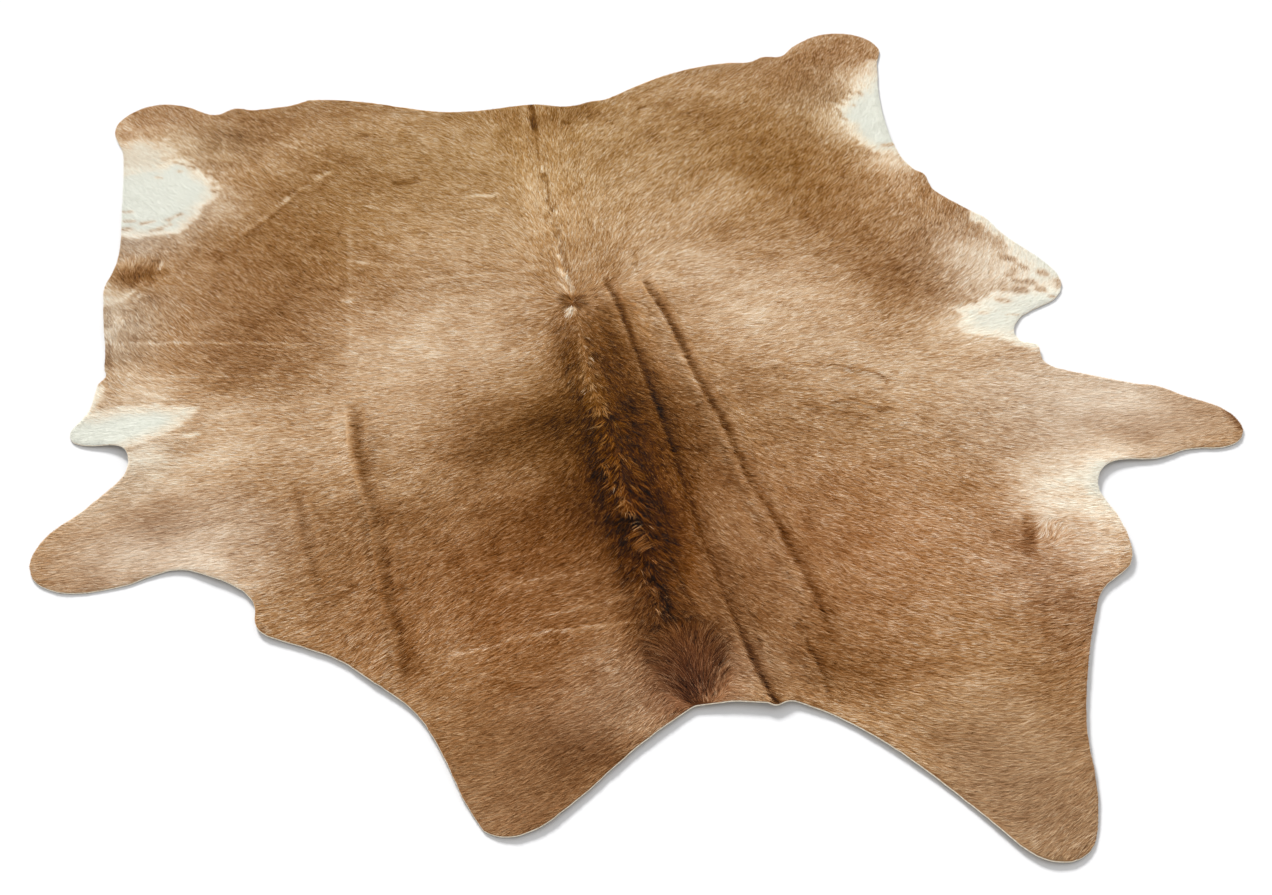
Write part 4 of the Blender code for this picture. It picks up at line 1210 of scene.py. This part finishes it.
# The long hair: fine wavy hair down the spine from the whorl, golden along its middle, that parts
# to both sides, a fan at the neck and pale hair on the tail line. A tuft is a stretch of the spine
# with locks on both sides; a lock is a few strands that lie and curl alike.
LONG_BLADE = Blade(
    (0.0, 0.33, 0.68, 1.0), (0.8, 1.0, 0.75, 0.0), (-0.1, 0.7, 1.0, 0.8), (-12, -6, -2, 0)
)
Tuft = namedtuple("Tuft", "name x0 y0 x1 y1 half way fan curl wave length rise locks tone spread")
MANE = rows_of(Tuft, [
    ("sides", -0.05, 0.225, -0.058, -0.6, 0.05, None, 0, 30, 14, 0.026, 0.0035, 1000, None, 6),
    ("golden_line_1", -0.051, 0.205, -0.062, 0.045, 0.007, -96, 40, 25, 34, 0.02, 0.005, 70, 54, 7),
    ("golden_line_2", -0.066, 0.045, -0.062, -0.085, 0.013, -97, 45, 25, 34, 0.022, 0.005, 75, 48, 7),
    ("dark_spot", -0.048, -0.086, -0.047, -0.112, 0.008, -90, 40, 0, 14, 0.016, 0.0055, 26, 8, 3),
    ("dark_spot_rays", -0.048, -0.098, -0.047, -0.112, 0.012, -90, 75, 30, 15, 0.036, 0.0045, 16, 34, 7),
    ("left_wisps", -0.06, -0.13, -0.074, -0.34, 0.012, -128, 10, 0, 28, 0.027, 0.0045, 80, 33, 7),
    ("right_wisps", -0.044, -0.13, -0.046, -0.46, 0.01, -64, 10, 0, 26, 0.03, 0.0045, 80, 29, 7),
    ("golden_thread", -0.08, -0.205, -0.065, -0.345, 0.004, -92, 20, 0, 40, 0.02, 0.005, 40, 42, 7),
    ("black_spot", -0.06, -0.346, -0.055, -0.378, 0.007, -84, 10, 0, 10, 0.013, 0.006, 40, 3, 2),
    ("over_the_black", -0.074, -0.35, -0.068, -0.388, 0.002, 22, 0, 0, 14, 0.02, 0.0075, 3, 56, 4),
    ("golden_cross", -0.084, -0.4, -0.074, -0.445, 0.004, 22, 12, 0, 20, 0.036, 0.0055, 12, 42, 7),
    ("dark_line", -0.06, -0.455, -0.051, -0.59, 0.009, -82, 24, 10, 24, 0.022, 0.005, 60, 13, 6),
    ("dark_low", -0.055, -0.436, -0.05, -0.484, 0.014, -80, 40, 20, 40, 0.022, 0.0045, 20, 26, 8),
    ("left_of_the_line", -0.074, -0.462, -0.066, -0.585, 0.006, -74, 10, 0, 30, 0.024, 0.0045, 34, 32, 7),
    ("right_of_the_line", -0.044, -0.47, -0.042, -0.6, 0.008, -60, 10, 0, 24, 0.026, 0.004, 40, 26, 7),
    ("fan_base", -0.043, -0.768, -0.042, -0.735, 0.017, 94, -38, -25, 8, 0.034, 0.0025, 70, 18, 5),
    ("fan_middle", -0.042, -0.738, -0.038, -0.68, 0.04, 94, -54, -40, 10, 0.038, 0.0025, 190, 24, 6),
    ("fan_top", -0.038, -0.685, -0.036, -0.625, 0.05, 94, -70, -40, 12, 0.034, 0.0022, 210, 28, 6),
])
WHORL_HAIR = rows_of(Tuft, [
    ("rays", -0.051, 0.262, -0.051, 0.242, 0.014, None, 0, 10, 12, 0.022, 0.004, 80, 38, 10),
    ("pale_below", -0.054, 0.238, -0.056, 0.232, 0.004, -123, 12, 0, 20, 0.024, 0.0045, 8, 88, 3),
    ("pale_above", -0.05, 0.284, -0.056, 0.33, 0.005, None, 0, 0, 15, 0.016, 0.0035, 22, 82, 5),
    ("tail_line", -0.048, 0.34, -0.032, 0.725, 0.006, None, 0, 10, 15, 0.014, 0.003, 130, None, 6),
])
STRANDS = 4
LOCK_HALF = 0.0018
LOCK_WAY = 6  # degrees that a tuft's locks differ in heading
LOCK_SIZE = (0.75, 1.2)
LOCK_SPREAD = (5, 8)  # degrees that a lock's strands differ in heading and in curl
STRAND_WIDTH = (0.0005, 0.0008)
STRAND_SPREAD = 8  # tones from strand to strand
STRAND_SHARE = (0.7, 1.15)  # of a lock's length and rise
STRAND_RISE = (0.4, 1)
STRAND_GLOW = -12  # tones from the short hair to the long hair over it
MANE_SEED = 90
WHORL_SEED = 91


def grow_tufts(tufts, draw):
    """The strands of some tufts: each lock is set at random along its tuft and across it. It lies
    like the coat, or turns by the fan's share, and curls to the side that it stands on."""
    rows = []
    for tuft in tufts:
        along_it, across = draw.uniform(0, 1, tuft.locks), draw.uniform(-1, 1, tuft.locks)
        run_x, run_y = tuft.x1 - tuft.x0, tuft.y1 - tuft.y0
        length = math.hypot(run_x, run_y)
        x = tuft.x0 + along_it * run_x + across * tuft.half * abs(run_y) / length
        y = tuft.y0 + along_it * run_y + across * tuft.half * abs(run_x) / length
        way = heading(x, y) if tuft.way is None else np.radians(tuft.way + tuft.fan * across)
        way = way + np.radians(LOCK_WAY) * draw.normal(size=tuft.locks)
        curl = tuft.curl * np.sign(across) + tuft.wave * draw.normal(size=tuft.locks)
        tone = tone_at(x, y) + STRAND_GLOW if tuft.tone is None else tuft.tone
        tone = tone + tuft.spread * draw.normal(size=tuft.locks)
        size = draw.uniform(*LOCK_SIZE, tuft.locks)
        x, y, way, curl, tone, size = (
            np.repeat(values, STRANDS) for values in (x, y, way, np.radians(curl), tone, size)
        )
        count = len(x)
        size = size * draw.uniform(*STRAND_SHARE, count)
        rows.append(Hairs(
            x + LOCK_HALF * draw.normal(size=count),
            y + LOCK_HALF * draw.normal(size=count),
            way + np.radians(LOCK_SPREAD[0]) * draw.normal(size=count),
            tuft.length * size,
            draw.uniform(*STRAND_WIDTH, count),
            tuft.rise * size * draw.uniform(*STRAND_RISE, count),
            np.radians(ROLL) * draw.normal(size=count),
            curl + np.radians(LOCK_SPREAD[1]) * draw.normal(size=count),
            tone + STRAND_SPREAD * draw.normal(size=count),
            np.zeros(count),
        ))
    strands = Hairs(*(np.concatenate(values) for values in zip(*rows)))
    strands = strands._replace(length=trimmed(*strands[:4], draw))
    kept = inside_by(strands.x, strands.y) > ROOT_ROOM
    return blades(Hairs(*(values[kept] for values in strands)), LONG_BLADE)


long_hair = [
    hair_piece("mane", grow_tufts(MANE, np.random.default_rng(MANE_SEED)), hair),
    hair_piece("whorl_hair", grow_tufts(WHORL_HAIR, np.random.default_rng(WHORL_SEED)), hair),
]

# The floor: plain, matt and nearly white, far wider than the view.
FLOOR_REACH = 6.0
FLOOR_DEPTH = 0.0006
FLOOR_COLOUR = (0.64, 0.64, 0.645, 1)

around = ((-1, -1), (1, -1), (1, 1), (-1, 1))
floor_corners = [(u * FLOOR_REACH, v * FLOOR_REACH, -FLOOR_DEPTH) for u, v in around]
floor_mesh = bpy.data.meshes.new("floor")
floor_mesh.from_pydata(floor_corners, [], [(0, 1, 2, 3)])
floor = bpy.data.objects.new("floor", floor_mesh)
bpy.context.scene.collection.objects.link(floor)
white_floor, floor_tree, floor_shader = new_material("white_floor")
floor_look = {"Base Color": FLOOR_COLOUR, "Roughness": 0.9, "Specular IOR Level": 0.1}
set_inputs(floor_tree, floor_shader, floor_look)
floor_mesh.materials.append(white_floor)

# The light of a studio: one wide soft source high behind the rump and a bright even room, so the
# raised front edges drop a short soft shadow toward the camera.
KEY_HEIGHT = 31
KEY_SIDE = 10
KEY_SPREAD = 14
KEY_STRENGTH = 4.7
ROOM_STRENGTH = 0.85

key_light = bpy.data.lights.new("key", "SUN")
key_light.energy = KEY_STRENGTH
key_light.angle = math.radians(KEY_SPREAD)
key = bpy.data.objects.new("key", key_light)
key.rotation_euler = (math.radians(KEY_HEIGHT - 90), 0, math.radians(KEY_SIDE))
bpy.context.scene.collection.objects.link(key)
room = bpy.data.worlds.new("room")
room.use_nodes = True
room.node_tree.nodes["Background"].inputs["Color"].default_value = (1, 1, 1, 1)
room.node_tree.nodes["Background"].inputs["Strength"].default_value = ROOM_STRENGTH
bpy.context.scene.world = room
bpy.context.scene.view_settings.view_transform = "Standard"
